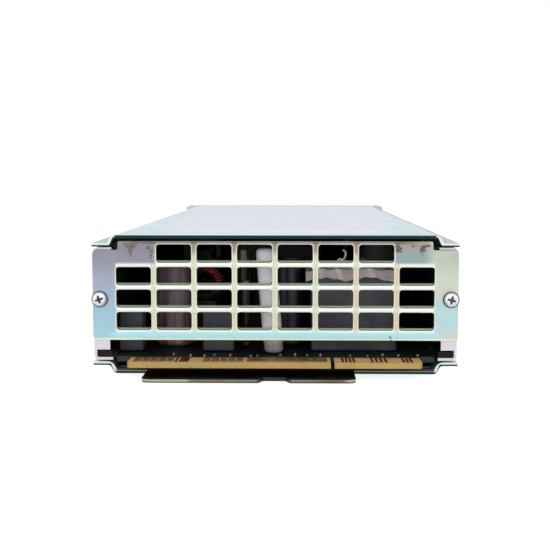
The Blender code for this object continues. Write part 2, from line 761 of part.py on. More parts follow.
def make_front_bezel(case, finish):
    start = CASE_LENGTH - BEZEL_DEPTH
    back = CASE_LENGTH - FACE_SHEET
    half = WIDTH / 2
    outline = rounded(box_outline(-half, 0.0, half, HEIGHT), BEZEL_CORNER)
    slot = box_outline(
        LATCH_X - STEM_HALF_WIDTH - SEAT_GAP,
        LATCH_CENTRE - STEM_HEIGHT / 2 - SEAT_GAP,
        LATCH_X + STEM_HALF_WIDTH + LATCH_TRAVEL + SEAT_GAP,
        LATCH_CENTRE + STEM_HEIGHT / 2 + SEAT_GAP,
    )
    holes = [circle(PIPE_RADIUS + PIPE_GAP, (PIPE_X, z), 16) for z in pipe_heights()]
    holes.append(slot)
    holes.extend(vent_holes())
    face = prism(outline, start, CASE_LENGTH, holes=holes)
    inner = box_outline(RIM_WALL - half, RIM_WALL, half - RIM_WALL, HEIGHT - RIM_WALL)
    bezel = cut(face, prism(rounded(inner, BEZEL_CORNER / 2), start - RIM_WALL, back))
    hinge_y = CASE_LENGTH + HINGE_OUT
    root = CASE_LENGTH - FACE_SHEET / 2
    ear = [
        (root, HINGE_HEIGHT - EAR_RADIUS),
        (hinge_y + EAR_RADIUS, HINGE_HEIGHT - EAR_RADIUS),
        (hinge_y + EAR_RADIUS, HINGE_HEIGHT + EAR_RADIUS),
        (root, HINGE_HEIGHT + EAR_RADIUS),
    ]
    round_end = EAR_RADIUS * 0.98
    ear = rounded(ear, [0.0, round_end, round_end, 0.0], steps=6)
    pin_hole = circle(PIN_RADIUS + PIN_GAP, (hinge_y, HINGE_HEIGHT), 16)
    for side in (-1, 1):
        edges = sorted((side * (EAR_X - EAR_WIDTH / 2), side * (EAR_X + EAR_WIDTH / 2)))
        bezel = joined(bezel, prism(ear, *edges, "X", [pin_hole]))
    for side in (-1, 1):
        arm = sorted((side * (HANDLE_HALF_WIDTH + EAR_GAP / 2),
                      side * (HANDLE_HALF_WIDTH - HANDLE_ARM - EAR_GAP)))
        low = (arm[0], CASE_LENGTH - TOE_POCKET, -RIM_WALL)
        high = (arm[1], CASE_LENGTH + RIM_WALL, HINGE_HEIGHT + HANDLE_DEPTH / 2)
        bezel = cut(bezel, block(low, high))
    for side in (-1, 1):
        edges = sorted((side * CLIP_OUTER, side * (CLIP_OUTER - CLIP_THICKNESS)))
        middle = HEIGHT / 2
        low = (edges[0], start - CLIP_LENGTH, middle - CLIP_HEIGHT / 2)
        high = (edges[1], start + CLIP_LENGTH / 2, middle + CLIP_HEIGHT / 2)
        bezel = joined(bezel, block(low, high))
    add("front_bezel", bezel, finish, case)


def make_handle(hinge, metal, pin_metal, case):
    """A U cut to its side profile: round arm ends on the pins, and a locking toe below each."""
    outer = HANDLE_HALF_WIDTH
    inner = outer - HANDLE_ARM
    top = HANDLE_TOP - HINGE_HEIGHT
    foot = -TOE_REACH
    shape = [
        (-outer, foot),
        (-inner, foot),
        (-inner, top - HANDLE_BAR),
        (inner, top - HANDLE_BAR),
        (inner, foot),
        (outer, foot),
        (outer, top),
        (-outer, top),
    ]
    tight = HANDLE_CORNER / 2
    radii = [0.0, 0.0, tight, tight, 0.0, 0.0, HANDLE_CORNER, HANDLE_CORNER]
    front = prism(rounded(shape, radii), -HANDLE_DEPTH, HANDLE_DEPTH)
    half = HANDLE_DEPTH / 2
    toe = TOE_WIDTH / 2
    side_shape = [
        (-half, -half),
        (-toe, -half),
        (-toe, foot),
        (toe, foot),
        (toe, -half),
        (half, -half),
        (half, top),
        (-half, top),
    ]
    eased = TOE_WIDTH / 4
    radii = [half * 0.8, 0.0, eased, eased, 0.0, half * 0.8, half * 0.5, half * 0.5]
    wide = outer + HANDLE_ARM
    side = prism(rounded(side_shape, radii), -wide, wide, "X")
    handle = combined(front, side, "INTERSECT")
    bore = rod(PIN_RADIUS + PIN_GAP, -wide, wide, "X", steps=16)
    add("handle", cut(handle, bore), metal, hinge)
    pin_start = inner + EAR_GAP
    pin_end = EAR_X + EAR_WIDTH / 2
    for sign, word in ((-1, "left"), (1, "right")):
        edges = sorted((sign * pin_start, sign * pin_end))
        pin = rod(PIN_RADIUS, *edges, "X", steps=16)
        place = (0.0, CASE_LENGTH + HINGE_OUT, HINGE_HEIGHT)
        add(f"hinge_pin_{word}", pin, pin_metal, case, place, smooth=True)


def make_latch(slide, plastic):
    """A ribbed thumb piece whose stem runs in the slot, and the keeper plate behind the face."""
    half = LATCH_HALF_WIDTH
    base = SEAT_GAP
    crest = base + LATCH_THICKNESS
    valley = crest - LATCH_THICKNESS / 4
    pitch = 2 * half / (2 * RIB_COUNT + 1)
    outline = [(half, base), (half, valley)]
    for rib in range(RIB_COUNT):
        right = half - (2 * rib + 1) * pitch
        outline.extend([(right, valley), (right, crest), (right - pitch, crest), (right - pitch, valley)])
    outline.extend([(-half, valley), (-half, base)])
    thumb = prism(outline, -LATCH_HEIGHT / 2, LATCH_HEIGHT / 2, "Z")
    stem = block(
        (-STEM_HALF_WIDTH, -FACE_SHEET, -STEM_HEIGHT / 2),
        (STEM_HALF_WIDTH, base + LATCH_THICKNESS / 2, STEM_HEIGHT / 2),
    )
    add("latch_slider", joined(thumb, stem), plastic, slide)
    back = -FACE_SHEET - SEAT_GAP
    wide = STEM_HALF_WIDTH + KEEPER_MARGIN
    tall = STEM_HEIGHT / 2 + KEEPER_MARGIN / 2
    keeper = block((-wide, back - KEEPER_THICKNESS, -tall), (wide, back, tall))
    add("latch_keeper", keeper, plastic, slide)


def make_indicators(case, clear_plastic, laminate):
    board_front = CASE_LENGTH - BEZEL_DEPTH + INDICATOR_BOARD_SHEET + SEAT_GAP
    pipe_start = board_front + SEAT_GAP
    length = CASE_LENGTH + PIPE_PROUD - pipe_start
    eased = PIPE_RADIUS / 4
    profile = [
        (0.0, 0.0),
        (PIPE_RADIUS, 0.0),
        (PIPE_RADIUS, length - eased),
        (PIPE_RADIUS - eased, length),
        (0.0, length),
    ]
    forward = Matrix.Rotation(-math.pi / 2, 4, "X")
    for number, z in enumerate(pipe_heights(), start=1):
        pipe = moved(turned(profile, 16), turn=forward)
        place = (PIPE_X, pipe_start, z)
        add(f"light_pipe_{number}", pipe, clear_plastic, case, place, smooth=True)
    half = INDICATOR_BOARD_WIDTH / 2
    low_z = PIPE_LOWEST - PIPE_PITCH / 2
    high_z = PIPE_LOWEST + (PIPE_COUNT - 0.5) * PIPE_PITCH
    low = (PIPE_X - half, board_front - INDICATOR_BOARD_SHEET, low_z)
    high = (PIPE_X + half, board_front, high_z)
    add("indicator_board", block(low, high), laminate, case)


# Fans

def fan_window(quarter):
    """One opening between two struts: an arc along the bore, and one along the motor's seat."""
    outer = FAN_BORE - SEAT_GAP
    steps = 5
    middle = math.pi / 2 * quarter
    reach_out = math.pi / 4 - STRUT_WIDTH / 2 / outer
    reach_in = math.pi / 4 - STRUT_WIDTH / 2 / HUB_RADIUS
    points = []
    for radius, reach in ((outer, reach_out), (HUB_RADIUS, -reach_in)):
        for step in range(steps + 1):
            angle = middle - reach + 2 * reach * step / steps
            points.append((radius * math.cos(angle), radius * math.sin(angle)))
    return points


def fan_frame_shape():
    """A square frame with two flanges, a round bore, and struts that carry the motor's seat."""
    half = FAN_HALF
    outline = rounded(box_outline(-half, -half, half, half), FAN_CORNER)
    holes = [fan_window(quarter) for quarter in range(STRUT_COUNT)]
    corner = half - FAN_SCREW_INSET
    for x in (-corner, corner):
        for z in (-corner, corner):
            holes.append(circle(FAN_SCREW_HOLE, (x, z), 12))
    frame = prism(outline, 0.0, FAN_DEPTH, holes=holes)
    bore = rod(FAN_BORE, STRUT_DEPTH, FAN_DEPTH + FAN_FLANGE, "Y", steps=FAN_STEPS)
    wide = box_outline(-FAN_SIZE, -FAN_SIZE, FAN_SIZE, FAN_SIZE)
    tube = circle(half - SEAT_GAP / 10, steps=FAN_STEPS)
    waist = prism(wide, FAN_FLANGE, FAN_DEPTH - FAN_FLANGE, holes=[tube])
    return cut(frame, bore, waist)


def blade_shape():
    """A twisted sheet from hub to tip: its angle grows along the axis, faster at the trailing edge."""
    inner = HUB_RADIUS - SEAT_GAP
    outer = FAN_BORE - BLADE_TIP_GAP
    start = STRUT_DEPTH + 3 * SEAT_GAP
    length = FAN_DEPTH - start - FAN_FLANGE
    along_steps = 5
    out_steps = 2
    bm = bmesh.new()
    sides = []
    for side in (-1, 1):
        grid = []
        for along in range(along_steps + 1):
            share = along / along_steps
            sweep = math.radians(BLADE_TWIST) * (share + 0.25 * share * share)
            row = []
            for out in range(out_steps + 1):
                radius = inner + (outer - inner) * out / out_steps
                lean = math.radians(BLADE_TWIST) * 0.3 * out / out_steps
                thin = BLADE_SHEET * (1.0 - 0.35 * out / out_steps)
                angle = sweep + lean + side * thin / 2 / radius
                place = (radius * math.cos(angle), start + length * share, radius * math.sin(angle))
                row.append(bm.verts.new(place))
            grid.append(row)
        sides.append(grid)
    rim = []
    for grid in sides:
        for along in range(along_steps):
            for out in range(out_steps):
                bm.faces.new((grid[along][out], grid[along][out + 1],
                              grid[along + 1][out + 1], grid[along + 1][out]))
    for grid in sides:
        edge = grid[0][:]
        edge.extend(row[-1] for row in grid[1:])
        edge.extend(grid[-1][-2::-1])
        edge.extend(row[0] for row in grid[-2:0:-1])
        rim.append(edge)
    count = len(rim[0])
    for index in range(count):
        after = (index + 1) % count
        bm.faces.new((rim[0][index], rim[0][after], rim[1][after], rim[1][index]))
    return bm


def rotor_shape():
    hub_start = STRUT_DEPTH + SEAT_GAP
    hub_end = FAN_DEPTH - SEAT_GAP
    eased = HUB_RADIUS / 6
    profile = [
        (0.0, hub_start),
        (HUB_RADIUS, hub_start),
        (HUB_RADIUS, hub_end - eased),
        (HUB_RADIUS - eased / 3, hub_end - eased / 3),
        (HUB_RADIUS - eased, hub_end),
        (0.0, hub_end),
    ]
    forward = Matrix.Rotation(-math.pi / 2, 4, "X")
    rotor = moved(turned(profile), turn=forward)
    for number in range(BLADE_COUNT):
        turn = Matrix.Rotation(math.tau * number / BLADE_COUNT, 4, "Y")
        rotor = joined(rotor, moved(blade_shape(), turn=turn))
    return rotor


def make_fans(case, plastic, dark_plastic):
    for side, word in ((-1, "left"), (1, "right")):
        place = (side * FAN_X, FAN_START, FAN_HEIGHT)
        add(f"fan_frame_{word}", fan_frame_shape(), plastic, case, place)
        add(f"fan_rotor_{word}", rotor_shape(), dark_plastic, case, place, smooth=True)


# Components on the board

def can_shape(radius, length, steps=ROUND_STEPS):
    """A capacitor can along Z: a rolled groove near its foot, a rim and a recessed top."""
    groove = min(length * 0.12, radius * 0.45)
    rim = radius * 0.9
    profile = [
        (0.0, 0.0),
        (rim, 0.0),
        (radius, radius * 0.1),
        (radius, groove * 0.75),
        (rim, groove),
        (radius, groove * 1.25),
        (radius, length - radius * 0.12),
        (rim, length),
        (rim * 0.92, length),
        (rim * 0.88, length - radius * 0.06),
        (0.0, length - radius * 0.06),
    ]
    return turned(profile, steps)


def make_rear_components(case, looks):
    """What shows through the grille: tall parts keep a named headroom under the cover."""
    place = (BROWN_X, BROWN_DEPTH, FLOOR)
    brown = can_shape(BROWN_RADIUS, CEILING - BROWN_HEADROOM - FLOOR)
    add("brown_capacitor", brown, looks["brown sleeve"], case, place, smooth=True)

    place = (NAVY_X, NAVY_DEPTH, FLOOR)
    navy = can_shape(NAVY_RADIUS, CEILING - NAVY_HEADROOM - FLOOR)
    add("navy_capacitor", navy, looks["navy sleeve"], case, place, smooth=True)

    slab_top = CEILING - SLAB_HEADROOM
    lean = (slab_top - FLOOR) * math.tan(math.radians(SLAB_LEAN)) / 2
    half = SLAB_WIDTH / 2
    outline = [
        (lean - half, FLOOR),
        (lean + half, FLOOR),
        (half - lean, slab_top),
        (-half - lean, slab_top),
    ]
    radii = [half / 4, half / 4, half * 0.7, half * 0.7]
    slab = prism(rounded(outline, radii), 0.0, SLAB_DEPTH)
    add("film_capacitor", slab, looks["pale resin"], case, (SLAB_X, SLAB_START, 0.0))

    choke_top = CEILING - CHOKE_HEADROOM
    half = CHOKE_WIDTH / 2
    core = block((-half, 0.0, FLOOR), (half, CHOKE_DEPTH, choke_top), COMPONENT_EASE)
    place = (CHOKE_X, CHOKE_START, 0.0)
    add("output_choke", core, looks["ferrite"], case, place)
    front = -SEAT_GAP
    back = CHOKE_DEPTH + SEAT_GAP
    hem = choke_top - TAPE_DROP
    over = choke_top + TAPE_RISE
    path = [(front, hem), (front, over), (back, over), (back, hem)]
    tape = folded_sheet(path, TAPE_SHEET, COMPONENT_EASE)
    tape = prism(tape, -TAPE_WIDTH / 2, TAPE_WIDTH / 2, "X")
    add("choke_tape", tape, looks["tape"], case, place)

    half = BLOCK_WIDTH / 2
    low = block((-half, 0.0, 0.0), (half, BLOCK_DEPTH, BLOCK_HEIGHT), COMPONENT_EASE)
    place = (half - BOARD_HALF - BLOCK_OVERHANG, BLOCK_START, FLOOR)
    add("side_inductor", low, looks["dark resin"], case, place)
    half = WIDE_BLOCK_WIDTH / 2
    low = block((-half, 0.0, 0.0), (half, WIDE_BLOCK_DEPTH, BLOCK_HEIGHT), COMPONENT_EASE)
    place = (WIDE_BLOCK_X, BLOCK_START, FLOOR)
    add("filter_inductor", low, looks["dark resin"], case, place)

    cans = [
        (SHORT_CAN_X, SHORT_CAN_DEPTH, SHORT_CAN_HEADROOM),
        (TALL_CAN_X, TALL_CAN_DEPTH, TALL_CAN_HEADROOM),
    ]
    for number, (x, depth, headroom) in enumerate(cans, start=1):
        can = can_shape(PIN_CAN_RADIUS, CEILING - headroom - FLOOR, SMALL_STEPS)
        place = (x, depth, FLOOR)
        add(f"small_capacitor_{number}", can, looks["bare can"], case, place, smooth=True)


def make_toroid(case, looks):
    """A wound ring standing on edge in a moulded cradle, its bore facing the grille."""
    centre = CEILING - TOROID_HEADROOM - TOROID_RADIUS
    section = circle(TOROID_SECTION, (TOROID_RADIUS - TOROID_SECTION, 0.0), SECTION_STEPS)
    upright = Matrix.Rotation(math.pi / 2, 4, "X")
    ring = turned(section, TOROID_STEPS, ring=True)
    ring = moved(ring, (0.0, 0.0, centre), upright)
    half = CRADLE_WIDTH / 2
    depth = CRADLE_DEPTH / 2
    top = centre - TOROID_RADIUS + CRADLE_GRIP
    cradle = block((-half, -depth, FLOOR), (half, depth, top), COMPONENT_EASE)
    wound = joined(ring, cradle)
    add("resonant_choke", wound, looks["red wire"], case, (TOROID_X, TOROID_DEPTH, 0.0), smooth=True)


def make_transformer(prefix, case, looks, start):
    """A core with two windows, and a coil around its middle limb, from a depth onwards."""
    top = CEILING - CORE_HEADROOM
    half = CORE_WIDTH / 2
    limb = CORE_LIMB / 2
    low = FLOOR + YOKE
    high = top - YOKE
    windows = [
        box_outline(-half + YOKE, low, -limb, high),
        box_outline(limb, low, half - YOKE, high),
    ]
    place = (0.0, start + CORE_LENGTH / 2, 0.0)
    outline = rounded(box_outline(-half, FLOOR, half, top), COIL_GAP)
    core = prism(outline, -CORE_DEPTH / 2, CORE_DEPTH / 2, holes=windows)
    add(f"{prefix}_core", core, looks["ferrite"], case, place)
    out_x = half - YOKE - COIL_GAP
    out_y = CORE_LENGTH / 2
    in_x = limb + COIL_GAP
    in_y = CORE_DEPTH / 2 + COIL_GAP
    coil = prism(
        rounded(box_outline(-out_x, -out_y, out_x, out_y), out_x - in_x),
        low + COIL_GAP,
        high - COIL_GAP,
        "Z",
        [rounded(box_outline(-in_x, -in_y, in_x, in_y), COIL_GAP)],
    )
    add(f"{prefix}_coil", coil, looks["yellow tape"], case, place)


def sink_outline():
    """A comb: one back plate, with level fins towards -X."""
    top = CEILING - SINK_HEADROOM
    pitch = (top - FLOOR - SINK_FIN) / (SINK_FINS - 1)
    points = [(0.0, top), (0.0, FLOOR)]
    for fin in range(SINK_FINS):
        low = FLOOR + fin * pitch
        points.extend([(-SINK_WIDTH, low), (-SINK_WIDTH, low + SINK_FIN)])
        if fin < SINK_FINS - 1:
            points.extend([(-SINK_BACK, low + SINK_FIN), (-SINK_BACK, low + pitch)])
    return points[1:-1] + [points[-1], points[0]]


def make_side_columns(case, looks):
    """Left: a sink with its power devices, then a capacitor. Right: a capacitor, then a sink."""
    right_start = ROWS_START + 2 * BULK_RADIUS + ROW_GAP
    lift = FLOOR + DEVICE_LIFT
    sink = prism(sink_outline(), 0.0, SINK_LENGTH)
    add("heat_sink_left", sink, looks["aluminium"], case, (-SINK_X, ROWS_START, 0.0))
    for number in range(DEVICE_COUNT):
        device = block((SEAT_GAP, 0.0, 0.0), (DEVICE_SHEET, DEVICE_WIDTH, DEVICE_HEIGHT), SEAT_GAP)
        place = (-SINK_X, ROWS_START + DEVICE_START + number * DEVICE_PITCH, lift)
        add(f"power_device_{number + 1}", device, looks["dark resin"], case, place)
    sink = mirrored(prism(sink_outline(), 0.0, SINK_LENGTH))
    add("heat_sink_right", sink, looks["aluminium"], case, (SINK_X, right_start, 0.0))
    bridge = block((-BRIDGE_SHEET, 0.0, 0.0), (-SEAT_GAP, BRIDGE_WIDTH, BRIDGE_HEIGHT), SEAT_GAP)
    place = (SINK_X, right_start + DEVICE_START, lift)
    add("bridge_rectifier", bridge, looks["dark resin"], case, place)
    x = COLUMN_EDGE - BULK_RADIUS
    places = [(-x, ROWS_END - BULK_RADIUS, FLOOR), (x, ROWS_START + BULK_RADIUS, FLOOR)]
    for number, place in enumerate(places, start=1):
        can = can_shape(BULK_RADIUS, CEILING - BULK_HEADROOM - FLOOR)
        add(f"bulk_capacitor_{number}", can, looks["dark sleeve"], case, place, smooth=True)


def make_middle_column(case, looks):
    """Two wound cores, a control board on edge along the case, and a wound ring."""
    boost_start = ROWS_START + CORE_LENGTH + ROW_GAP
    control_start = boost_start + CORE_LENGTH + ROW_GAP
    control_end = ROWS_END - 2 * INPUT_CHOKE_RADIUS - ROW_GAP
    make_transformer("transformer", case, looks, ROWS_START)
    make_transformer("boost_inductor", case, looks, boost_start)
    half = CONTROL_SHEET / 2
    low = (-half, control_start, FLOOR)
    high = (half, control_end, CEILING - CONTROL_HEADROOM)
    add("control_board", block(low, high), looks["laminate"], case)

    ease = INPUT_CHOKE_HEIGHT / 5
    profile = [
        (INPUT_CHOKE_BORE, ease),
        (INPUT_CHOKE_BORE + ease, 0.0),
        (INPUT_CHOKE_RADIUS - ease, 0.0),
        (INPUT_CHOKE_RADIUS, ease),
        (INPUT_CHOKE_RADIUS, INPUT_CHOKE_HEIGHT - ease),
        (INPUT_CHOKE_RADIUS - ease, INPUT_CHOKE_HEIGHT),
        (INPUT_CHOKE_BORE + ease, INPUT_CHOKE_HEIGHT),
        (INPUT_CHOKE_BORE, INPUT_CHOKE_HEIGHT - ease),
    ]
    place = (0.0, ROWS_END - INPUT_CHOKE_RADIUS, FLOOR)
    choke = turned(profile, ring=True)
    add("input_choke", choke, looks["copper wire"], case, place, smooth=True)


def make_looks():
    return {
        "zinc": material("zinc_plate", (0.78, 0.82, 0.82), 0.3, 0.9),
        "steel": material("screw_steel", (0.72, 0.73, 0.74), 0.3, 1.0),
        "black plastic": material("black_plastic", (0.02, 0.02, 0.022), 0.55),
        "grey plastic": material("faceplate_grey", (0.32, 0.33, 0.34), 0.5),
        "handle": material("handle_coat", (0.20, 0.21, 0.22), 0.45),
        "clear": material("clear_plastic", (0.85, 0.88, 0.86), 0.1),
        "laminate": material("laminate", (0.05, 0.13, 0.07), 0.45),
        "film": material("insulation_film", (0.015, 0.015, 0.017), 0.5),
        "brown sleeve": material("brown_sleeve", (0.09, 0.05, 0.05), 0.4),
        "navy sleeve": material("navy_sleeve", (0.02, 0.03, 0.10), 0.35),
        "dark sleeve": material("dark_sleeve", (0.03, 0.03, 0.035), 0.4),
        "pale resin": material("pale_resin", (0.72, 0.71, 0.70), 0.5),
        "dark resin": material("dark_resin", (0.05, 0.05, 0.055), 0.5),
        "ferrite": material("ferrite", (0.06, 0.06, 0.062), 0.6),
        "tape": material("crumpled_tape", (0.35, 0.32, 0.30), 0.3),
        "yellow tape": material("coil_tape", (0.62, 0.45, 0.10), 0.4),
        "red wire": material("red_wire", (0.40, 0.06, 0.05), 0.3),
        "copper wire": material("copper_wire", (0.62, 0.28, 0.12), 0.3, 0.6),
        "bare can": material("bare_can", (0.45, 0.40, 0.38), 0.35, 0.8),
        "aluminium": material("aluminium", (0.75, 0.76, 0.77), 0.35, 1.0),
    }


def build():
    clear_scene()
    looks = make_looks()
    case = empty("case_frame", (0.0, REAR_Y, 0.0))
    make_base_plate(case, looks["zinc"])
    make_top_cover(case, looks["zinc"])
    for side, word in ((-1, "left"), (1, "right")):
        make_side_wall(f"side_wall_{word}", case, looks["zinc"], side)
    make_rear_panel(case, looks["zinc"])
    make_fasteners(case, looks["steel"])
    make_main_board(case, looks["laminate"])
    make_board_supports(case, looks["film"], looks["steel"], looks["black plastic"])
    make_front_bezel(case, looks["grey plastic"])
    hinge = empty("handle_hinge", (0.0, CASE_LENGTH + HINGE_OUT, HINGE_HEIGHT), case)
    make_handle(hinge, looks["handle"], looks["steel"], case)
    slide = empty("latch_slide", (LATCH_X, CASE_LENGTH, LATCH_CENTRE), case)
    make_latch(slide, looks["black plastic"])
    make_indicators(case, looks["clear"], looks["laminate"])
    make_fans(case, looks["black plastic"], looks["black plastic"])
    make_rear_components(case, looks)
    make_toroid(case, looks)
    make_side_columns(case, looks)
    make_middle_column(case, looks)


build()
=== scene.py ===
# %% [markdown]
# A rectifier module, dressed for the camera
#
# The object is a flat steel case, seen from its rear end. A pierced panel shows the parts on
# the board behind it, a card edge with copper fingers stands out below, and the cover runs to
# the faceplate. The solids come from the frame, and this script gives each one its finish,
# and makes the thin and soft things that a solid would only stand in for.

# %% Load the frame
import math

import bmesh
import bpy
import numpy as np
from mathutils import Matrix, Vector


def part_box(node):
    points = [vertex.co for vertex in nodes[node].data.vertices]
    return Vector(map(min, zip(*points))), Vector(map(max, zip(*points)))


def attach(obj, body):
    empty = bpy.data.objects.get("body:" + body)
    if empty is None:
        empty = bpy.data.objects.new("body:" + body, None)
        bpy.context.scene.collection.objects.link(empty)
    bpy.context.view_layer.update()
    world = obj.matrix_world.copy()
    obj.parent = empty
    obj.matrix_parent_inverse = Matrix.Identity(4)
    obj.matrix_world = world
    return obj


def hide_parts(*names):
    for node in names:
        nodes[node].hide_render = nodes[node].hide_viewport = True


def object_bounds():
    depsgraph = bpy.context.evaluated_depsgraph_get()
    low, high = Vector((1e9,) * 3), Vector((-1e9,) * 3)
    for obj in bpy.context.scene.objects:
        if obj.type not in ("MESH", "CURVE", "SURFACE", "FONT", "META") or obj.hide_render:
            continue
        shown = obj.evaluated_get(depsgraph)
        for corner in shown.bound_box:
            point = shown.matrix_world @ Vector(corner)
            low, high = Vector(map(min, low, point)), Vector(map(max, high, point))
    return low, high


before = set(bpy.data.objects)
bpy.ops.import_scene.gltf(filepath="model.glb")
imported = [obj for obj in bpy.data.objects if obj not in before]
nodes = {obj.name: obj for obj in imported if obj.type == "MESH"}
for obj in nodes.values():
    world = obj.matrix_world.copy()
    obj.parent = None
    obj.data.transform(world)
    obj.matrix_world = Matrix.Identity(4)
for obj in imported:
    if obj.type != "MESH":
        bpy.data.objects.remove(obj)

MM = 0.001
cad_low, cad_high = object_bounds()
print("case box in mm:", [round(v / MM, 1) for v in (*cad_low, *cad_high)])

# %% [markdown]
# Lines that several pieces share
#
# Every place in this script is read from the frame's boxes or worked out from them, so a
# piece that is made here meets the solid that carries it.

# %% Read the shared lines
panel_low, panel_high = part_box("rear_panel")
board_low, board_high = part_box("main_board")
PANEL_Y = panel_low.y
BOARD_TOP = board_high.z
TAB_TIP = board_low.y
print("rear panel at y =", round(PANEL_Y / MM, 2), "mm, card edge at", round(TAB_TIP / MM, 2))

# %% [markdown]
# The camera
#
# The photograph was taken from close by: the far end of the cover is only half as wide as
# its near end. A camera 290 mm from the panel, a little above the cover and a little to the
# right of the middle, gives that taper. The lens follows from the width that the panel fills.

# %% Place the camera
CAMERA_BACK = 290 * MM
CAMERA_RIGHT = 5.7 * MM
CAMERA_HEIGHT = 57.8 * MM
PITCH_DOWN = math.radians(5.74)
TURN_LEFT = math.radians(1.12)
FRAME_PIXELS = 550
FOCAL_PIXELS = 1020
SENSOR = 36.0

camera_data = bpy.data.cameras.new("camera")
camera_data.sensor_width = SENSOR
camera_data.lens = SENSOR * FOCAL_PIXELS / FRAME_PIXELS
camera = bpy.data.objects.new("camera", camera_data)
bpy.context.scene.collection.objects.link(camera)
camera.location = (CAMERA_RIGHT, PANEL_Y - CAMERA_BACK, CAMERA_HEIGHT)
camera.rotation_euler = (math.pi / 2 - PITCH_DOWN, 0.0, TURN_LEFT)
bpy.context.scene.camera = camera
print("lens in mm:", round(camera_data.lens, 1))

# %% [markdown]
# Shader maths written as Python
#
# A wire is one output of a node. The operators add Math nodes, so a mask can be written as
# 1 - a * b. A paint is a material's tree: its node method adds any node, sets it up first
# and then feeds its sockets with values or wires.

# %% Define wires and paints
class Wire:
    """One output socket; arithmetic on it adds Math nodes to the same tree."""

    def __init__(self, paint, socket):
        self.paint = paint
        self.socket = socket

    def maths(self, operation, *others):
        inputs = dict(enumerate((self, *others)))
        return self.paint.node("ShaderNodeMath", {"operation": operation}, inputs)

    def __add__(self, other):
        return self.maths("ADD", other)

    __radd__ = __add__

    def __sub__(self, other):
        return self.maths("SUBTRACT", other)

    def __rsub__(self, other):
        return (self * -1.0) + other

    def __mul__(self, other):
        return self.maths("MULTIPLY", other)

    __rmul__ = __mul__

    def __truediv__(self, other):
        return self.maths("DIVIDE", other)

    def size(self):
        return self.maths("ABSOLUTE")

    def most(self, other):
        return self.maths("MAXIMUM", other)

    def cosine(self):
        return self.maths("COSINE")

    def steps(self, low, high, out_low=0.0, out_high=1.0):
        """A smooth rise from out_low to out_high as the value goes from low to high."""
        settings = {"interpolation_type": "SMOOTHSTEP"}
        inputs = {0: self, 1: low, 2: high, 3: out_low, 4: out_high}
        return self.paint.node("ShaderNodeMapRange", settings, inputs)


class Paint:
    """A material with one Principled shader, and short ways to feed it."""

    def __init__(self, name, **fixed):
        self.material = bpy.data.materials.new(name)
        self.material.use_nodes = True
        self.tree = self.material.node_tree
        self.tree.nodes.clear()
        self.shader = self.tree.nodes.new("ShaderNodeBsdfPrincipled")
        output = self.tree.nodes.new("ShaderNodeOutputMaterial")
        self.tree.links.new(self.shader.outputs[0], output.inputs["Surface"])
        self.set(**fixed)

    def feed(self, socket, value):
        if isinstance(value, Wire):
            self.tree.links.new(value.socket, socket)
        elif isinstance(value, tuple) and len(value) == 3 and socket.type == "RGBA":
            socket.default_value = (*value, 1.0)
        else:
            socket.default_value = value

    def node(self, kind, settings=None, inputs=None, output=0):
        made = self.tree.nodes.new(kind)
        for name, value in (settings or {}).items():
            setattr(made, name, value)
        for key, value in (inputs or {}).items():
            self.feed(made.inputs[key], value)
        return Wire(self, made.outputs[output])

    def set(self, **sockets):
        """Feed the shader: base_color becomes Base Color, and so on."""
        for name, value in sockets.items():
            label = name.replace("_", " ").title().replace("Ior", "IOR")
            self.feed(self.shader.inputs[label], value)
        return self

    def place(self, scale=(1.0, 1.0, 1.0)):
        """Object coordinates in metres, stretched for a pattern."""
        coordinates = self.node("ShaderNodeTexCoord", output=3)
        return self.node("ShaderNodeMapping", None, {0: coordinates, 3: scale})

    def axes(self):
        """The object coordinates as three number wires, in millimetres."""
        split = self.node("ShaderNodeSeparateXYZ", None, {0: self.place((1000.0,) * 3)})
        outputs = split.socket.node.outputs
        return [Wire(self, outputs[index]) for index in range(3)]

    def noise(self, scale, detail=3.0, roughness=0.5, stretch=(1.0, 1.0, 1.0)):
        inputs = {"Vector": self.place(stretch), "Scale": scale, "Detail": detail, "Roughness": roughness}
        return self.node("ShaderNodeTexNoise", None, inputs)

    def mix(self, factor, first, second):
        """A colour between two, by a Mix node."""
        settings = {"data_type": "RGBA", "blend_type": "MIX"}
        return self.node("ShaderNodeMix", settings, {0: factor, 6: first, 7: second}, output=2)

    def ramp(self, factor, stops):
        """A colour read from a row of (place, colour) stops."""
        made = self.tree.nodes.new("ShaderNodeValToRGB")
        marks = made.color_ramp.elements
        for index, (place, colour) in enumerate(stops):
            mark = marks[index] if index < 2 else marks.new(place)
            mark.position = place
            mark.color = (*colour, 1.0)
        self.feed(made.inputs[0], factor)
        return Wire(self, made.outputs[0])

    def bump(self, height, strength, distance):
        """Relief that is finer than the mesh."""
        inputs = {"Height": height, "Strength": strength, "Distance": distance}
        wire = self.node("ShaderNodeBump", None, inputs)
        self.set(normal=wire)
        return self


def tone(red, green, blue):
    """A colour as an eye reads it, 0 to 255, turned to the light values that shaders use."""
    share = np.array([red, green, blue]) / 255.0
    light = np.where(share <= 0.04045, share / 12.92, ((share + 0.055) / 1.055) ** 2.4)
    return tuple(float(v) for v in light)


print("paint ready; mid grey is", round(tone(128, 128, 128)[0], 3))

# %% [markdown]
# Shapes as grids of points
#
# Most parts here are pressed, moulded or wound, so their surfaces are smooth functions of two
# numbers. Each shape below is worked out as a whole array of points, in millimetres, and one
# class gathers such grids until they become a mesh. Modelling by hand in edit mode would give
# the same faces, but the arrays keep every size readable.

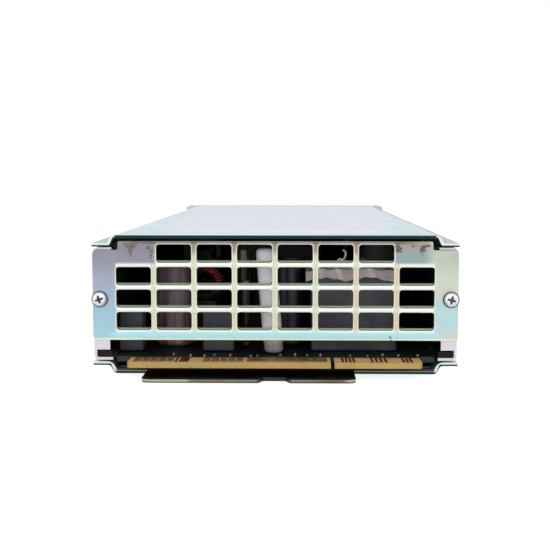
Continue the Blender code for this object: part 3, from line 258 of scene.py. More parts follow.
# %% Define faces and shapes
def quads(rows, columns, wrap_rows=False, wrap_columns=False):
    """Four corners per face, for a grid whose points are counted row by row."""
    row = np.arange(rows if wrap_rows else rows - 1)
    column = np.arange(columns if wrap_columns else columns - 1)
    row, column = np.meshgrid(row, column, indexing="ij")
    row_after = (row + 1) % rows
    column_after = (column + 1) % columns
    corners = [(row, column), (row, column_after), (row_after, column_after), (row_after, column)]
    return np.stack([r * columns + c for r, c in corners], axis=-1).reshape(-1, 4)


class Shape:
    """Grids of points that become one mesh; a mark is a number that a paint can read."""

    def __init__(self):
        self.points = []
        self.faces = []
        self.marks = []
        self.coats = []
        self.count = 0

    def grid(self, points, wrap_rows=False, wrap_columns=False, mark=0.0, coat=0):
        rows, columns = points.shape[:2]
        faces = quads(rows, columns, wrap_rows, wrap_columns) + self.count
        self.points.append(points.reshape(-1, 3))
        self.marks.append((np.zeros((rows, columns)) + mark).ravel())
        self.faces.extend(faces.tolist())
        self.coats.extend([coat] * len(faces))
        self.count += rows * columns
        return self


print("a 3 by 3 grid has", len(quads(3, 3)), "faces")

# %% [markdown]
# Blocks, turned parts and tubes
#
# Four surfaces make nearly everything here: rounded rectangles stacked upwards for moulded
# blocks, a profile turned about an upright line for cans, and a circle carried along a path
# for wires. The paths are smoothed, so that a few points are enough.

# %% Define blocks, turned parts and tubes
LATHE_STEPS = 48


def rounded_loop(half_x, half_y, corner, grow=0.0, steps=5):
    """A rounded rectangle: a quarter circle about each corner's centre, grown outwards or not."""
    turn = np.linspace(0.0, np.pi / 2, steps)
    angle = (turn + np.arange(4)[:, None] * np.pi / 2).ravel()
    side_x = np.repeat([1, -1, -1, 1], steps)
    side_y = np.repeat([1, 1, -1, -1], steps)
    grow = np.atleast_1d(np.asarray(grow, float))[:, None]
    x = side_x * (half_x - corner) + (corner + grow) * np.cos(angle)
    y = side_y * (half_y - corner) + (corner + grow) * np.sin(angle)
    return np.stack([x, y], axis=-1)


def soft_block(low, high, corner, edge, steps=4):
    """Rounded rectangles stacked upwards, drawn in along a quarter circle at both ends."""
    low, high = np.array(low, float), np.array(high, float)
    half = (high - low) / 2
    turn = np.linspace(0.0, np.pi / 2, steps)
    inset = edge * (1.0 - np.sin(turn))
    rise = edge * (1.0 - np.cos(turn))
    inset = np.concatenate([inset, inset[::-1]])
    height = np.concatenate([low[2] + rise, (high[2] - rise)[::-1]])
    rows = rounded_loop(half[0], half[1], corner, -inset)
    ends = np.zeros((1, rows.shape[1], 2))
    rows = np.concatenate([ends, rows, ends]) + (low[:2] + half[:2])
    height = np.concatenate([[low[2]], height, [high[2]]])
    height = np.broadcast_to(height[:, None, None], (*rows.shape[:2], 1))
    return np.concatenate([rows, height], axis=-1)


def lathe(profile, centre):
    """A profile of (radius, height) turned about an upright line through the centre."""
    profile = np.array(profile, float)
    angle = np.linspace(0.0, 2 * np.pi, LATHE_STEPS, endpoint=False)
    x = centre[0] + profile[:, :1] * np.cos(angle)
    y = centre[1] + profile[:, :1] * np.sin(angle)
    z = np.broadcast_to(profile[:, 1:], x.shape)
    return np.stack([x, y, z], axis=-1)


def tube(path, radius, steps=8):
    """A circle carried along a path; its plane is square to the path's direction."""
    path = np.array(path, float)
    along = np.gradient(path, axis=0)
    along /= np.linalg.norm(along, axis=1, keepdims=True)
    side = np.cross(along, [0.0, 1.0, 0.02])
    side /= np.linalg.norm(side, axis=1, keepdims=True)
    up = np.cross(side, along)
    angle = np.linspace(0.0, 2 * np.pi, steps, endpoint=False)[None, :, None]
    around = np.cos(angle) * side[:, None] + np.sin(angle) * up[:, None]
    rings = path[:, None] + np.asarray(radius, float).reshape(-1, 1, 1) * around
    start = np.repeat(path[:1, None], steps, axis=1)
    end = np.repeat(path[-1:, None], steps, axis=1)
    return np.concatenate([start, rings, end])


def smooth_path(points, count):
    """A curve through the points: cubic pieces whose slopes come from the neighbours."""
    points = np.array(points, float)
    slope = np.gradient(points, axis=0)
    place = np.linspace(0.0, len(points) - 1.0, count)
    piece_number = np.minimum(place.astype(int), len(points) - 2)
    t = (place - piece_number)[:, None]
    start, end = points[piece_number], points[piece_number + 1]
    leave, arrive = slope[piece_number], slope[piece_number + 1]
    return (
        (2 * t**3 - 3 * t**2 + 1) * start
        + (t**3 - 2 * t**2 + t) * leave
        + (3 * t**2 - 2 * t**3) * end
        + (t**3 - t**2) * arrive
    )


print("a test block has", soft_block((0, 0, 0), (4, 4, 4), 1, 0.5).shape, "points")

# %% [markdown]
# From arrays to pieces
#
# A piece is a mesh at the origin with its place in its points. Equal points are merged, so
# that poles close, and then the faces are turned outwards. Each piece made here rides on the
# case and hides the CAD solids that it replaces. A solid that is good as it is only gets a paint.

# %% Define pieces and dressing
WELD = 0.003


def piece(name, shape, paints, replaces=(), sharp=35.0, flat_ends=()):
    """One object from a shape: doubles merged, flat ends filled, faces turned outwards."""
    mesh = bpy.data.meshes.new(name)
    mesh.from_pydata((np.concatenate(shape.points) * MM).tolist(), [], shape.faces)
    mark = mesh.attributes.new("mark", "FLOAT", "POINT")
    mark.data.foreach_set("value", np.concatenate(shape.marks))
    mesh.polygons.foreach_set("material_index", shape.coats)
    for paint in paints:
        mesh.materials.append(paint.material)
    bm = bmesh.new()
    bm.from_mesh(mesh)
    bmesh.ops.remove_doubles(bm, verts=bm.verts, dist=WELD * MM)
    for level in flat_ends:
        edges = [e for e in bm.edges if e.is_boundary]
        edges = [e for e in edges if all(abs(v.co.y / MM - level) < 0.001 for v in e.verts)]
        bmesh.ops.triangle_fill(bm, use_beauty=True, edges=edges)
    bmesh.ops.recalc_face_normals(bm, faces=bm.faces)
    bm.to_mesh(mesh)
    bm.free()
    mesh.shade_smooth()
    mesh.set_sharp_from_angle(angle=math.radians(sharp))
    made = bpy.data.objects.new(name, mesh)
    bpy.context.scene.collection.objects.link(made)
    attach(made, "case")
    if replaces:
        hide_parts(*replaces)
    print(name, len(mesh.polygons), "faces")
    return made


def box_mm(node):
    """A node's box as two arrays in millimetres."""
    low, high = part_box(node)
    return np.array(low) / MM, np.array(high) / MM


def dress(paint, *names):
    """Give CAD solids a finish without touching their shapes."""
    for name in names:
        materials = nodes[name].data.materials
        materials.clear()
        materials.append(paint.material)


print("weld distance in mm:", WELD)

# %% [markdown]
# Zinc plating
#
# The sheet steel is zinc plated and passivated. The film on it is thinner than a wavelength of
# light in places, so the plate drifts between pale blue, mint, cream and a little pink. A thin
# film input would do that for one viewing angle, but it isn't used here, so the drift is painted:
# a broad noise picks the tint and a finer one makes the grain of the plating.

# %% Define the plating
PALE_BLUE = tone(188, 216, 232)
MINT = tone(206, 228, 218)
CREAM = tone(228, 226, 196)
LILAC = tone(206, 204, 220)
WHITE_ZINC = tone(228, 234, 232)
PLATING = [(0.30, PALE_BLUE), (0.44, MINT), (0.52, WHITE_ZINC), (0.60, CREAM), (0.72, LILAC)]
# Painted dark reflection on the sheared rear edges of the sheets.
DARK_EDGE_REFLECTION = tone(26, 50, 52)


def zinc(name, roughness=0.34, drift=26.0, metallic=0.95):
    """The plating's shader and its drifting tint; the caller mixes in what is special."""
    paint = Paint(name, metallic=metallic, specular_ior_level=0.5)
    broad = paint.noise(drift, 3.0, 0.55)
    tint = paint.ramp(broad, PLATING)
    grain = paint.noise(1500.0, 4.0, 0.65)
    smear = paint.noise(240.0, 3.0, 0.6, (1.0, 0.25, 1.0))
    paint.set(roughness=smear.steps(0.25, 0.8, roughness - 0.08, roughness + 0.12))
    paint.bump(grain + smear * 0.6, 0.12, 0.00004)
    return paint, tint


print("plating tints:", len(PLATING))

# %% [markdown]
# The rear panel
#
# The panel is a millimetre of plated steel with 30 punched openings. A punch pulls the face
# in at the rim, so each opening is led in by a small quarter-round roll. The roll catches the
# light, and a painted highlight on it makes the white outline. The CAD solid has plain square
# rims, so this skin takes its place, with the same outline, openings and screw holes.

# %% Size the rear panel
PITCH_X = 11.6
PITCH_Z = 6.5
ROWS = 4
COLUMNS = 8
HOLE_HALF_X = 5.0
HOLE_HALF_Z = 2.6
HOLE_CORNER = 0.8
LOWEST_ROW = 15.2
ROLL = 0.36
ROLL_STEPS = 5
LEDGE = (0.42, 0.50, 0.56)
BURR = 0.95
SCREW_X = 49.9
SCREW_Z = 21.6
SCREW_HOLE = 1.5
SCREW_ROLL = 0.1
NECK = 45.1
SHOULDER = 35.8
EASE = 1.2
TIGHT_EASE = 0.6
EDGE = 0.16
EDGE_STEPS = 4
front_y = panel_low.y / MM
back_y = panel_high.y / MM
panel_left = panel_low.x / MM
panel_bottom = panel_low.z / MM
panel_top = panel_high.z / MM
print("panel is", round(back_y - front_y, 2), "mm thick and", round(panel_top - panel_bottom, 1), "high")

# %% [markdown]
# One opening
#
# An opening is a wall that runs from the rolled rim to the panel's back. A punch leaves a burr
# on the lower side, and in the picture it shows as a thin ledge with a dark line over it, so
# the lower wall is drawn up a little behind the roll.

# %% Shape an opening
def quarter(radius, steps):
    """A quarter circle as two rows of numbers: how far in the edge is, and how deep."""
    turn = np.linspace(0.0, np.pi / 2, steps)
    return radius * (1.0 - np.sin(turn)), radius * (1.0 - np.cos(turn))


def roll_rows(radius):
    """How far out and how deep the rows lie: a quarter circle, a fine step, and the wall."""
    grow, depth = quarter(radius, ROLL_STEPS)
    return np.append(grow, np.zeros(len(LEDGE) + 1)), np.append(depth, [*LEDGE, back_y - front_y])


def opening(centre_x, centre_z, half_x, half_z, corner, radius):
    """One opening's wall, from its rolled rim to the back, where the lower side is drawn up."""
    grow, depth = roll_rows(radius)
    loop = rounded_loop(half_x, half_z, corner, grow, steps=6)
    y = np.broadcast_to((front_y + depth)[:, None], loop.shape[:2])
    low_side = np.clip(-loop[..., 1] / half_z, 0.0, 1.0) ** 2
    burr = BURR * low_side * np.clip(depth - radius, 0.0, None)[:, None]
    return np.stack([centre_x + loop[..., 0], y, centre_z + loop[..., 1] + burr], axis=-1)


print("an opening has", len(roll_rows(ROLL)[0]), "rows")

# %% [markdown]
# The panel's outline
#
# The outline steps in at the shoulders, where the panel goes up between the cover's rails. Its
# corners are eased with arcs, and its edge is rounded by drawing the outline in along a quarter
# circle at both faces. The flat faces between edge and openings are filled last.

# %% Shape the panel
def arc_corner(corner, before, after, radius, steps=5):
    """Points of an arc that eases one corner of an outline, tangent to both of its sides."""
    corner, before, after = (np.array(p, float) for p in (corner, before, after))
    back = (before - corner) / np.linalg.norm(before - corner)
    on = (after - corner) / np.linalg.norm(after - corner)
    start = corner + back * radius
    t = np.linspace(0.0, 1.0, steps)[:, None]
    bend = np.sin(t * np.pi / 2)
    ease = 1.0 - np.cos(t * np.pi / 2)
    return start - back * radius * bend + on * radius * ease


def eased_outline(points, radii):
    corners = zip(points, points[-1:] + points[:-1], points[1:] + points[:1], radii)
    return np.concatenate([arc_corner(*corner) for corner in corners])


def drawn_in(loop, distance):
    """An outline moved inwards: each point goes along the mean of its two edges' normals."""
    before = loop - np.roll(loop, 1, axis=0)
    after = np.roll(loop, -1, axis=0) - loop
    normals = [np.stack([-edge[:, 1], edge[:, 0]], axis=-1) for edge in (before, after)]
    normals = [n / np.linalg.norm(n, axis=1, keepdims=True) for n in normals]
    mean = normals[0] + normals[1]
    mean /= np.sum(mean * normals[0], axis=1, keepdims=True)
    return loop + mean * distance


FACE, ROLLED, GROOVE, WALL = 0.0, 1.0, 2.0, 3.0
OUTER_EDGE = -1.0
panel = Shape()
roll_marks = np.array([FACE] + [ROLLED] * (ROLL_STEPS - 1) + [GROOVE] * 2 + [WALL] * 2)[:, None]
openings = 0
for row in range(ROWS):
    columns = range(1, COLUMNS - 1) if row == ROWS - 1 else range(COLUMNS)
    for column in columns:
        place = ((column - (COLUMNS - 1) / 2) * PITCH_X, LOWEST_ROW + row * PITCH_Z)
        wall = opening(*place, HOLE_HALF_X, HOLE_HALF_Z, HOLE_CORNER, ROLL)
        panel.grid(wall, wrap_columns=True, mark=roll_marks)
        openings += 1
for side in (-1, 1):
    wall = opening(side * SCREW_X, SCREW_Z, SCREW_HOLE, SCREW_HOLE, SCREW_HOLE, SCREW_ROLL)
    panel.grid(wall, wrap_columns=True)

half = [(-panel_left, panel_bottom), (-panel_left, SHOULDER), (NECK, SHOULDER), (NECK, panel_top)]
outline = half + [(-x, z) for x, z in half[::-1]]
outline = eased_outline(outline, [EASE] * 2 + [TIGHT_EASE] * 4 + [EASE] * 2)
inset, deep = quarter(EDGE, EDGE_STEPS)
draw = np.concatenate([inset, inset[::-1]])
deep = np.concatenate([deep, back_y - front_y - deep[::-1]])
rows = [drawn_in(outline, d) for d in draw]
rim = np.stack([np.insert(loop, 1, front_y + d, axis=1) for loop, d in zip(rows, deep)])
rim_marks = np.array([FACE] + [OUTER_EDGE] * (2 * EDGE_STEPS - 2) + [FACE])[:, None]
panel.grid(rim, wrap_columns=True, mark=rim_marks)
print("panel openings:", openings, "rim points:", rim.shape)

# %% [markdown]
# The panel's colours
#
# The upright bars look cream, the level bars nearly white and the crossings a little darker,
# because the stamped sheet isn't quite flat and each part mirrors something else. Two cosines
# of the opening pitch find the bars. The margins drift from lilac at the top to cyan below. The
# brown run mark at the left and the dark scuffs under the cover are masks of their own, with
# edges made ragged by noise. A faint milky haze from the passivation lies over it all.

# %% Paint the rear panel
FULL_TURN = 2 * math.pi
MILKY_HAZE = 0.05
RUN_MARK_X = -41.3
LEFT_MARGIN = [(0.0, tone(162, 204, 220)), (0.30, tone(150, 188, 208)), (0.60, tone(156, 164, 184)),
               (0.80, tone(136, 138, 153)), (0.95, tone(128, 122, 134))]
RIGHT_MARGIN = [(0.0, tone(214, 204, 194)), (0.16, tone(180, 212, 216)), (0.36, tone(172, 208, 210)),
                (0.48, tone(208, 204, 184)), (0.66, tone(194, 208, 194)), (0.86, tone(178, 182, 168))]
RIGHT_CORNER = [(0.0, tone(150, 182, 180)), (0.86, tone(136, 160, 160)), (0.97, tone(158, 136, 120))]
SCUFFS = [(-36.0, 36.3, 0.5, 0.8), (-35.4, 34.9, 0.55, 1.3), (-37.4, 35.3, 0.2, 0.3),
          (35.2, 36.3, 0.75, 1.0), (41.6, 36.9, 1.7, 0.35), (41.9, 35.9, 0.7, 1.1),
          (42.9, 37.0, 1.1, 0.3), (33.0, 10.7, 0.24, 0.24), (33.3, 9.95, 0.6, 0.16)]


def bar_colours(paint, tint, x, uprights, levels, wander):
    """Cream uprights that turn warmer to the right, white level bars, darker crossings."""
    between = 1.0 - levels
    middle = (x * (FULL_TURN / PITCH_X)).cosine().steps(0.965, 0.995)
    bars = paint.mix(levels, tint, tone(238, 243, 234))
    bars = paint.mix(uprights * between * 0.85, bars, tone(212, 202, 152))
    bars = paint.mix(middle * between * 0.45, bars, tone(196, 212, 188))
    bars = paint.mix(uprights * levels * 0.55, bars, tone(176, 188, 172))
    warm = (x + wander * 14.0).steps(2.0, 26.0) * uprights * between
    return paint.mix(warm * 0.5, bars, tone(214, 178, 136))


def margin_colours(paint, x, z, wander):
    """The plain margins: one ramp up the left side, two up the right."""
    height = (z + wander * 6.0 - panel_bottom) / (panel_top - panel_bottom)
    left = paint.ramp(height, LEFT_MARGIN)
    outermost = (x + wander * 3.0).steps(42.0, 45.0)
    right = paint.mix(outermost, paint.ramp(height, RIGHT_CORNER), paint.ramp(height, RIGHT_MARGIN))
    return paint.mix(x.steps(-2.0, 2.0), left, right)


def wear_marks(paint, colour, x, z, wander):
    """The brown run mark, which narrows downwards, and the dark scuffs, which are ovals."""
    fine = paint.noise(520.0, 5.0, 0.75)
    rag = paint.noise(820.0, 4.0, 0.7)
    off_line = (x - RUN_MARK_X + wander * 2.2 + (rag - 0.5) * 1.6).size()
    width = z.steps(35.0, 37.9, 0.3, 1.95)
    run = (width - off_line).steps(-0.34, 0.26) * z.steps(33.5, 34.4)
    dense = fine.steps(0.3, 0.6, 0.5, 0.95) * z.steps(38.3, 36.6, 0.62, 1.0)
    colour = paint.mix(run * dense, colour, tone(92, 70, 60))
    for mark_x, mark_z, reach_x, reach_z in SCUFFS:
        off_x = (x - mark_x).size() / reach_x
        off_z = (z - mark_z).size() / reach_z
        spot = (off_x * off_x + off_z * off_z + (rag - 0.5) * 16.0).steps(1.3, 0.5)
        colour = paint.mix(spot * 0.88, colour, tone(46, 54, 54))
    return colour


def rim_colours(paint, colour):
    """A painted white highlight on the roll, a dark line of painted shade in the groove, the ledge painted
    paler against its shade, the outer edge grey.
    """
    mark = paint.node("ShaderNodeAttribute", {"attribute_name": "mark"}, output=2)
    # Painted highlight: white on the roll.
    colour = paint.mix(mark.steps(0.1, 0.7) * 0.9, colour, tone(244, 248, 232))
    # Painted shade: a dark line in the groove.
    colour = paint.mix(mark.steps(1.2, 1.8), colour, tone(52, 56, 52))
    # Painted light: the ledge is painted paler, against its shade.
    colour = paint.mix(mark.steps(2.2, 2.8), colour, tone(150, 166, 150))
    return paint.mix((mark * -1.0).steps(0.6, 1.0) * 0.65, colour, tone(74, 80, 80))


def paint_panel():
    paint, tint = zinc("zinc_panel", roughness=0.36, metallic=0.55)
    x, _, z = paint.axes()
    uprights = (x * (FULL_TURN / PITCH_X)).cosine().steps(0.84, 0.95)
    levels = ((z - LOWEST_ROW) * (FULL_TURN / PITCH_Z)).cosine() * -1.0
    levels = levels.steps(0.66, 0.86)
    wander = paint.noise(60.0, 2.0, 0.5) - 0.5
    inward = x.size() * -1.0
    pierced = inward.steps(-46.2, -45.2) * (z * -1.0).steps(-32.4, -31.4)
    pierced = pierced.most(inward.steps(-34.9, -34.0))
    bars = bar_colours(paint, tint, x, uprights, levels, wander)
    colour = paint.mix(pierced, margin_colours(paint, x, z, wander), bars)
    strip = ((z + wander * 1.2) * -1.0).steps(-12.9, -11.7) * inward.steps(-50.5, -44.0)
    colour = paint.mix(strip, colour, tone(170, 222, 230))
    colour = paint.mix((z * -1.0).steps(-10.35, -10.1), colour, tone(244, 246, 210))
    # Painted shade: a dark band along the panel's top, under the cover's edge.
    top = z.steps(37.2, 37.8) * inward.steps(-44.5, -34.0)
    colour = paint.mix(top * 0.85, colour, tone(84, 66, 58))
    # Painted shade: the upright bars darken near the top, under the cover.
    web_top_shade = uprights * z.steps(33.6, 36.0) * pierced
    colour = paint.mix(web_top_shade * 0.75, colour, tone(106, 84, 66))
    colour = wear_marks(paint, colour, x, z, wander)
    colour = rim_colours(paint, colour)
    return paint.set(base_color=paint.mix(MILKY_HAZE, colour, tone(255, 255, 255)))


panel_paint = paint_panel()
piece("panel_skin", panel, [panel_paint], ["rear_panel"], flat_ends=(front_y, back_y))

# %% [markdown]
# The two panel screws
#
# They are pan heads with a cross recess, bright on the dome. The dark ring where the head meets
# the panel and the dark cross are painted shade. A head is a height over a disc: a shallow dome
# that stands on a thin flat flange, less the cross, which is two slots with a deeper middle. The
# two crosses stand at different angles, as they were left by the driver.

# %% Shape and paint the panel screws
HEAD_RADIUS = 2.36
HEAD_OUT = 0.45
DOME_SHARE = 0.87
DOME_HEIGHT = 1.35
FLANGE_HEIGHT = 0.32
SHANK_RADIUS = 1.3
CROSS_DEPTH = 0.85


def cross_depth(x, z, turned):
    """How deep the cross recess is: the deeper of two tapered slots and a round middle."""
    along = x * np.cos(turned) + z * np.sin(turned)
    across = z * np.cos(turned) - x * np.sin(turned)
    arms = np.stack([along, across])
    reach = np.clip((1.28 - np.abs(arms)) / 0.22, 0.0, 1.0)
    width = np.clip((0.30 - np.abs(arms[::-1])) / 0.12, 0.0, 1.0)
    slots = np.max(reach * width * np.clip(1.5 - np.abs(arms), 0.3, 1.0), axis=0)
    middle = np.clip((0.62 - np.hypot(x, z)) / 0.25, 0.0, 1.0)
    return CROSS_DEPTH * np.maximum(slots, middle)


def make_screw(name, node, turned):
    """A domed head, less its cross, and the shank behind it down to the solid's end."""
    low, high = box_mm(node)
    centre_x, centre_z = (low[0] + high[0]) / 2, (low[2] + high[2]) / 2
    centre_x += HEAD_OUT * np.sign(centre_x)
    edge = HEAD_RADIUS * DOME_SHARE
    flange = [edge + 0.04, HEAD_RADIUS - 0.05, HEAD_RADIUS]
    radius = np.concatenate([np.linspace(0.0, 1.6, 28), np.linspace(1.66, edge, 10), flange])
    angle = np.linspace(0.0, 2 * np.pi, 96, endpoint=False)
    radius, angle = np.meshgrid(radius, angle, indexing="ij")
    x, z = radius * np.cos(angle), radius * np.sin(angle)
    share = radius / HEAD_RADIUS
    inner = np.clip(share / DOME_SHARE, 0.0, 1.0)
    dome = (1.0 - 0.25 * inner**2) * np.sqrt(np.clip(1.0 - inner**8, 0.0, 1.0))
    depth = cross_depth(x, z, turned)
    lift = FLANGE_HEIGHT + DOME_HEIGHT * dome - depth
    seat = front_y + 0.02
    head = np.stack([centre_x + x, seat - lift, centre_z + z], axis=-1)
    length = high[1] - seat
    shank = [(HEAD_RADIUS, 0.0), (SHANK_RADIUS, 0.0), (SHANK_RADIUS, length), (0.0, length)]
    shank = np.array(shank)
    angle = angle[0]
    shank_x = centre_x + shank[:, :1] * np.cos(angle)
    shank_z = centre_z + shank[:, :1] * np.sin(angle)
    shank_y = np.broadcast_to(seat + shank[:, 1:], shank_x.shape)
    shape = Shape()
    # The mark is where shade is painted: the head's outer ring and the cross recess.
    rim = np.clip((share - 0.85) / 0.03, 0.0, 1.0) + np.clip(depth / 0.3, 0.0, 1.0)
    shape.grid(head, wrap_columns=True, mark=np.clip(rim, 0.0, 1.0))
    shape.grid(np.stack([shank_x, shank_y, shank_z], axis=-1), wrap_columns=True, mark=1.0)
    piece(name, shape, [screw_paint], [node], sharp=50.0)


screw_paint = Paint("bright_screw", metallic=0.55)
# Painted shade: the marked ring, cross and shank are darkened.
shade = screw_paint.node("ShaderNodeAttribute", {"attribute_name": "mark"}, output=2)
turning = screw_paint.noise(900.0, 3.0, 0.6)
bright = screw_paint.mix(turning.steps(0.3, 0.75), tone(238, 238, 242), tone(214, 212, 222))
screw_paint.set(base_color=screw_paint.mix(shade * 0.9, bright, tone(52, 50, 56)))
screw_paint.set(roughness=turning.steps(0.2, 0.8, 0.24, 0.42))
screw_paint.bump(turning, 0.1, 0.00003)
make_screw("screw_head_left", "rear_screw_left", math.radians(18))
make_screw("screw_head_right", "rear_screw_right", math.radians(-14))

# %% [markdown]
# The sheet-metal case
#
# Cover, base plate and side walls share the plating. Seen along its length the cover mirrors
# the white room, and that reflection is painted: nearly white at the near edge, pale cyan along
# the sides and lavender towards the middle and the far end. The sheared rear edge of each sheet
# is painted dark, as a painted dark reflection.

# %% Paint the cover, the base plate and the walls
def cut_edge(paint, colour, x, z, centre_level, rail_level, end, plain):
    """The sheared end of a stepped sheet: a painted dark reflection below its middle line, paler above it.
    """
    level = x.size().steps(46.2, 47.6, centre_level, rail_level)
    above = (z - level).steps(-0.16, 0.10)
    rail = x.size().steps(45.5, 46.3)
    pale = paint.mix(rail, plain, tone(206, 222, 214))
    return paint.mix(end, colour, paint.mix(above, DARK_EDGE_REFLECTION, pale))


def paint_cover():
    paint, tint = zinc("zinc_cover", roughness=0.38, drift=9.0)
    x, y, z = paint.axes()
    wander = paint.noise(14.0, 2.0, 0.5) - 0.5
    run = (y - front_y) + wander * 24.0
    # Painted reflection of the white room: pale tints down the middle, cyan along the sides, a stripe near
    # the rear end.
    middle = paint.mix(run.steps(12.0, 50.0), tone(212, 219, 226), tone(207, 211, 224))
    middle = paint.mix(run.steps(60.0, 200.0), middle, tone(205, 209, 224))
    side = (x.size() - run * 0.065 + wander * 5.0).steps(28.0, 35.0)
    colour = paint.mix(side * 0.9, middle, tone(192, 212, 218))
    reflected_stripe = (run - 8.0).size().steps(4.0, 1.0)
    colour = paint.mix(reflected_stripe * 0.5, colour, tone(166, 196, 214))
    colour = paint.mix(0.07, colour, tint)
    rail = x.size().steps(47.0, 48.2)
    rail_tint = paint.mix(x.steps(-1.0, 1.0), tone(204, 218, 212), tone(218, 202, 202))
    colour = paint.mix(rail * 0.7, colour, rail_tint)
    smudge_x = (x - 41.0) / 5.0
    smudge_y = (y - 112.0) / 10.0
    smudge = (smudge_x * smudge_x + smudge_y * smudge_y + wander * 1.4).steps(1.2, 0.2)
    colour = paint.mix(smudge * 0.3, colour, tone(190, 172, 174))
    # Painted shade: the cover is darker below its top sheet, on its underside and down its rails.
    under = (z * -1.0).steps(-39.05, -38.9)
    colour = paint.mix(under * 0.5, colour, tone(120, 128, 132))
    end = (y * -1.0).steps(-front_y - 0.35, -front_y - 0.1)
    colour = cut_edge(paint, colour, x, z, 39.5, 37.2, end, DARK_EDGE_REFLECTION)
    # Painted highlight along the rounded top edge at the cover's rear end.
    lip = (y - front_y - 0.8).size().steps(0.9, 0.3) * z.steps(39.7, 39.95)
    colour = paint.mix(lip * 0.9, colour, tone(248, 250, 248))
    return paint.set(base_color=colour)


def paint_base():
    paint, tint = zinc("zinc_base", roughness=0.36)
    x, y, z = paint.axes()
    colour = paint.mix(0.6, tint, tone(200, 206, 208))
    end = (y * -1.0).steps(-front_y - 0.35, -front_y - 0.1)
    colour = cut_edge(paint, colour, x, z, 0.62, 2.9, end, tone(104, 112, 100))
    tongue = (y * -1.0).steps(-front_y + 0.4, -front_y + 0.8)
    # Painted shade and dark reflection: the tongue's top is near black, as it mirrors the dark underside
    # of the board.
    dark_reflection_mottle = paint.noise(300.0, 4.0, 0.6).steps(0.2, 0.8, 0.85, 1.0)
    top = z.steps(0.9, 0.97) * tongue
    colour = paint.mix(top * dark_reflection_mottle, colour, tone(24, 19, 22))
    blush = paint.noise(90.0, 3.0, 0.6).steps(0.35, 0.6)
    edge_tint = paint.mix(blush, tone(112, 92, 80), tone(120, 122, 106))
    edge = tongue * (1.0 - top)
    colour = paint.mix(edge, colour, edge_tint)
    # Painted highlight: the tongue's near edge is lighter towards its ends.
    ends = (x + 2.0).size().steps(20.5, 23.0) * edge
    colour = paint.mix(ends * 0.7, colour, tone(178, 184, 166))
    # Painted shade: the edge inside the notch is dark.
    notch_shade = x.size().steps(5.0, 4.2) * edge
    colour = paint.mix(notch_shade * 0.9, colour, tone(44, 38, 40))
    # Painted shade: a dark line along the tongue edge's lower side.
    lower_edge_shade = tongue * (z * -1.0).steps(-0.42, -0.22)
    colour = paint.mix(lower_edge_shade * 0.9, colour, tone(44, 48, 42))
    return paint.set(base_color=colour)


def paint_walls():
    paint, tint = zinc("zinc_walls", roughness=0.36)
    y = paint.axes()[1]
    colour = paint.mix(0.78, tint, tone(198, 203, 210))
    tab = (y * -1.0).steps(-front_y - 2.6, -front_y - 1.4)
    colour = paint.mix(tab, colour, tone(208, 202, 208))
    return paint.set(base_color=colour)


dress(paint_cover(), "top_cover")
dress(paint_base(), "base_plate")
dress(paint_walls(), "side_wall_left", "side_wall_right")
print("sheet metal painted")

# %% [markdown]
# The circuit board and its card edge
#
# The board is glass laminate. Inside it is covered by dark green solder mask. The contact tab
# has none, so its gold-tan laminate and its cut front edge show, with the small dark dots of
# the glass bundles. The copper fingers lie on both faces of the tab, a few hundredths of a
# millimetre thick: broad brown power fingers in the middle and thin dark signal fingers right
# of the keying slot.

# %% Paint the board
def paint_board():
    paint = Paint("laminate_board", specular_ior_level=0.45)
    x, y, _ = paint.axes()
    weave = (x * 9.0).cosine() * (y * 9.0).cosine()
    mottle = paint.noise(420.0, 4.0, 0.6)
    tan = paint.mix(mottle.steps(0.3, 0.75), tone(196, 162, 96), tone(172, 138, 80))
    tan = paint.mix(weave.steps(0.2, 1.0) * 0.2, tan, tone(160, 122, 62))
    mask = paint.mix(mottle.steps(0.35, 0.7), tone(10, 22, 17), tone(20, 34, 26))
    covered = (y - front_y).steps(-0.5, 0.7)
    colour = paint.mix(covered, tan, mask)
    front = (y * -1.0).steps(-TAB_TIP / MM - 0.25, -TAB_TIP / MM - 0.12)
    bundles = {"Vector": paint.place((260.0, 0.0, 120.0)), "Scale": 1.0}
    dots = paint.node("ShaderNodeTexVoronoi", None, bundles)
    spots = dots.steps(0.12, 0.05) * front
    colour = paint.mix(front * 0.8, colour, tone(200, 170, 102))
    colour = paint.mix(spots * 0.6, colour, tone(124, 92, 48))
    paint.set(base_color=colour, roughness=mottle.steps(0.2, 0.8, 0.38, 0.62))
    return paint.bump(mottle + weave * 0.15, 0.15, 0.00005)


dress(paint_board(), "main_board")
print("board painted")

# %% [markdown]
# The contact fingers
#
# Each finger is a thin plate with eased edges, set a hair above the laminate. Real fingers are
# plated on and could be painted on the board's face, but the steps between them catch a line of
# light along the card edge, so they are solid.

# %% Shape and paint the contact fingers
FINGER = 0.06
SUNK = 0.02
WIDE_PITCH = 2.33
BROWN, DARK = 0, 1
board_top_mm = BOARD_TOP / MM
board_low_mm = board_low.z / MM
tab_y = TAB_TIP / MM
contacts = [(start + WIDE_PITCH * k, 1.0, BROWN) for start in (-39.1, -19.3) for k in range(5)]
contacts += [(-27.9, 0.35, DARK), (-25.7, 1.35, DARK), (3.5, 11.4, BROWN)]
for start, pitch, half_width, count in ((19.3, 1.05, 0.34, 4), (27.6, 1.3, 0.36, 4), (36.5, 1.1, 0.34, 3)):
    contacts += [(start + pitch * k, half_width, DARK) for k in range(count)]
upper_face = (board_top_mm - SUNK, board_top_mm + FINGER)
lower_face = (board_low_mm - FINGER, board_low_mm + SUNK)
fingers = Shape()
for face_low, face_high in (upper_face, lower_face):
    for centre, half_width, coat in contacts:
        low = (centre - half_width, tab_y + 0.9, face_low)
        high = (centre + half_width, front_y - 0.3, face_high)
        fingers.grid(soft_block(low, high, 0.12, 0.03, 3), wrap_columns=True, coat=coat)


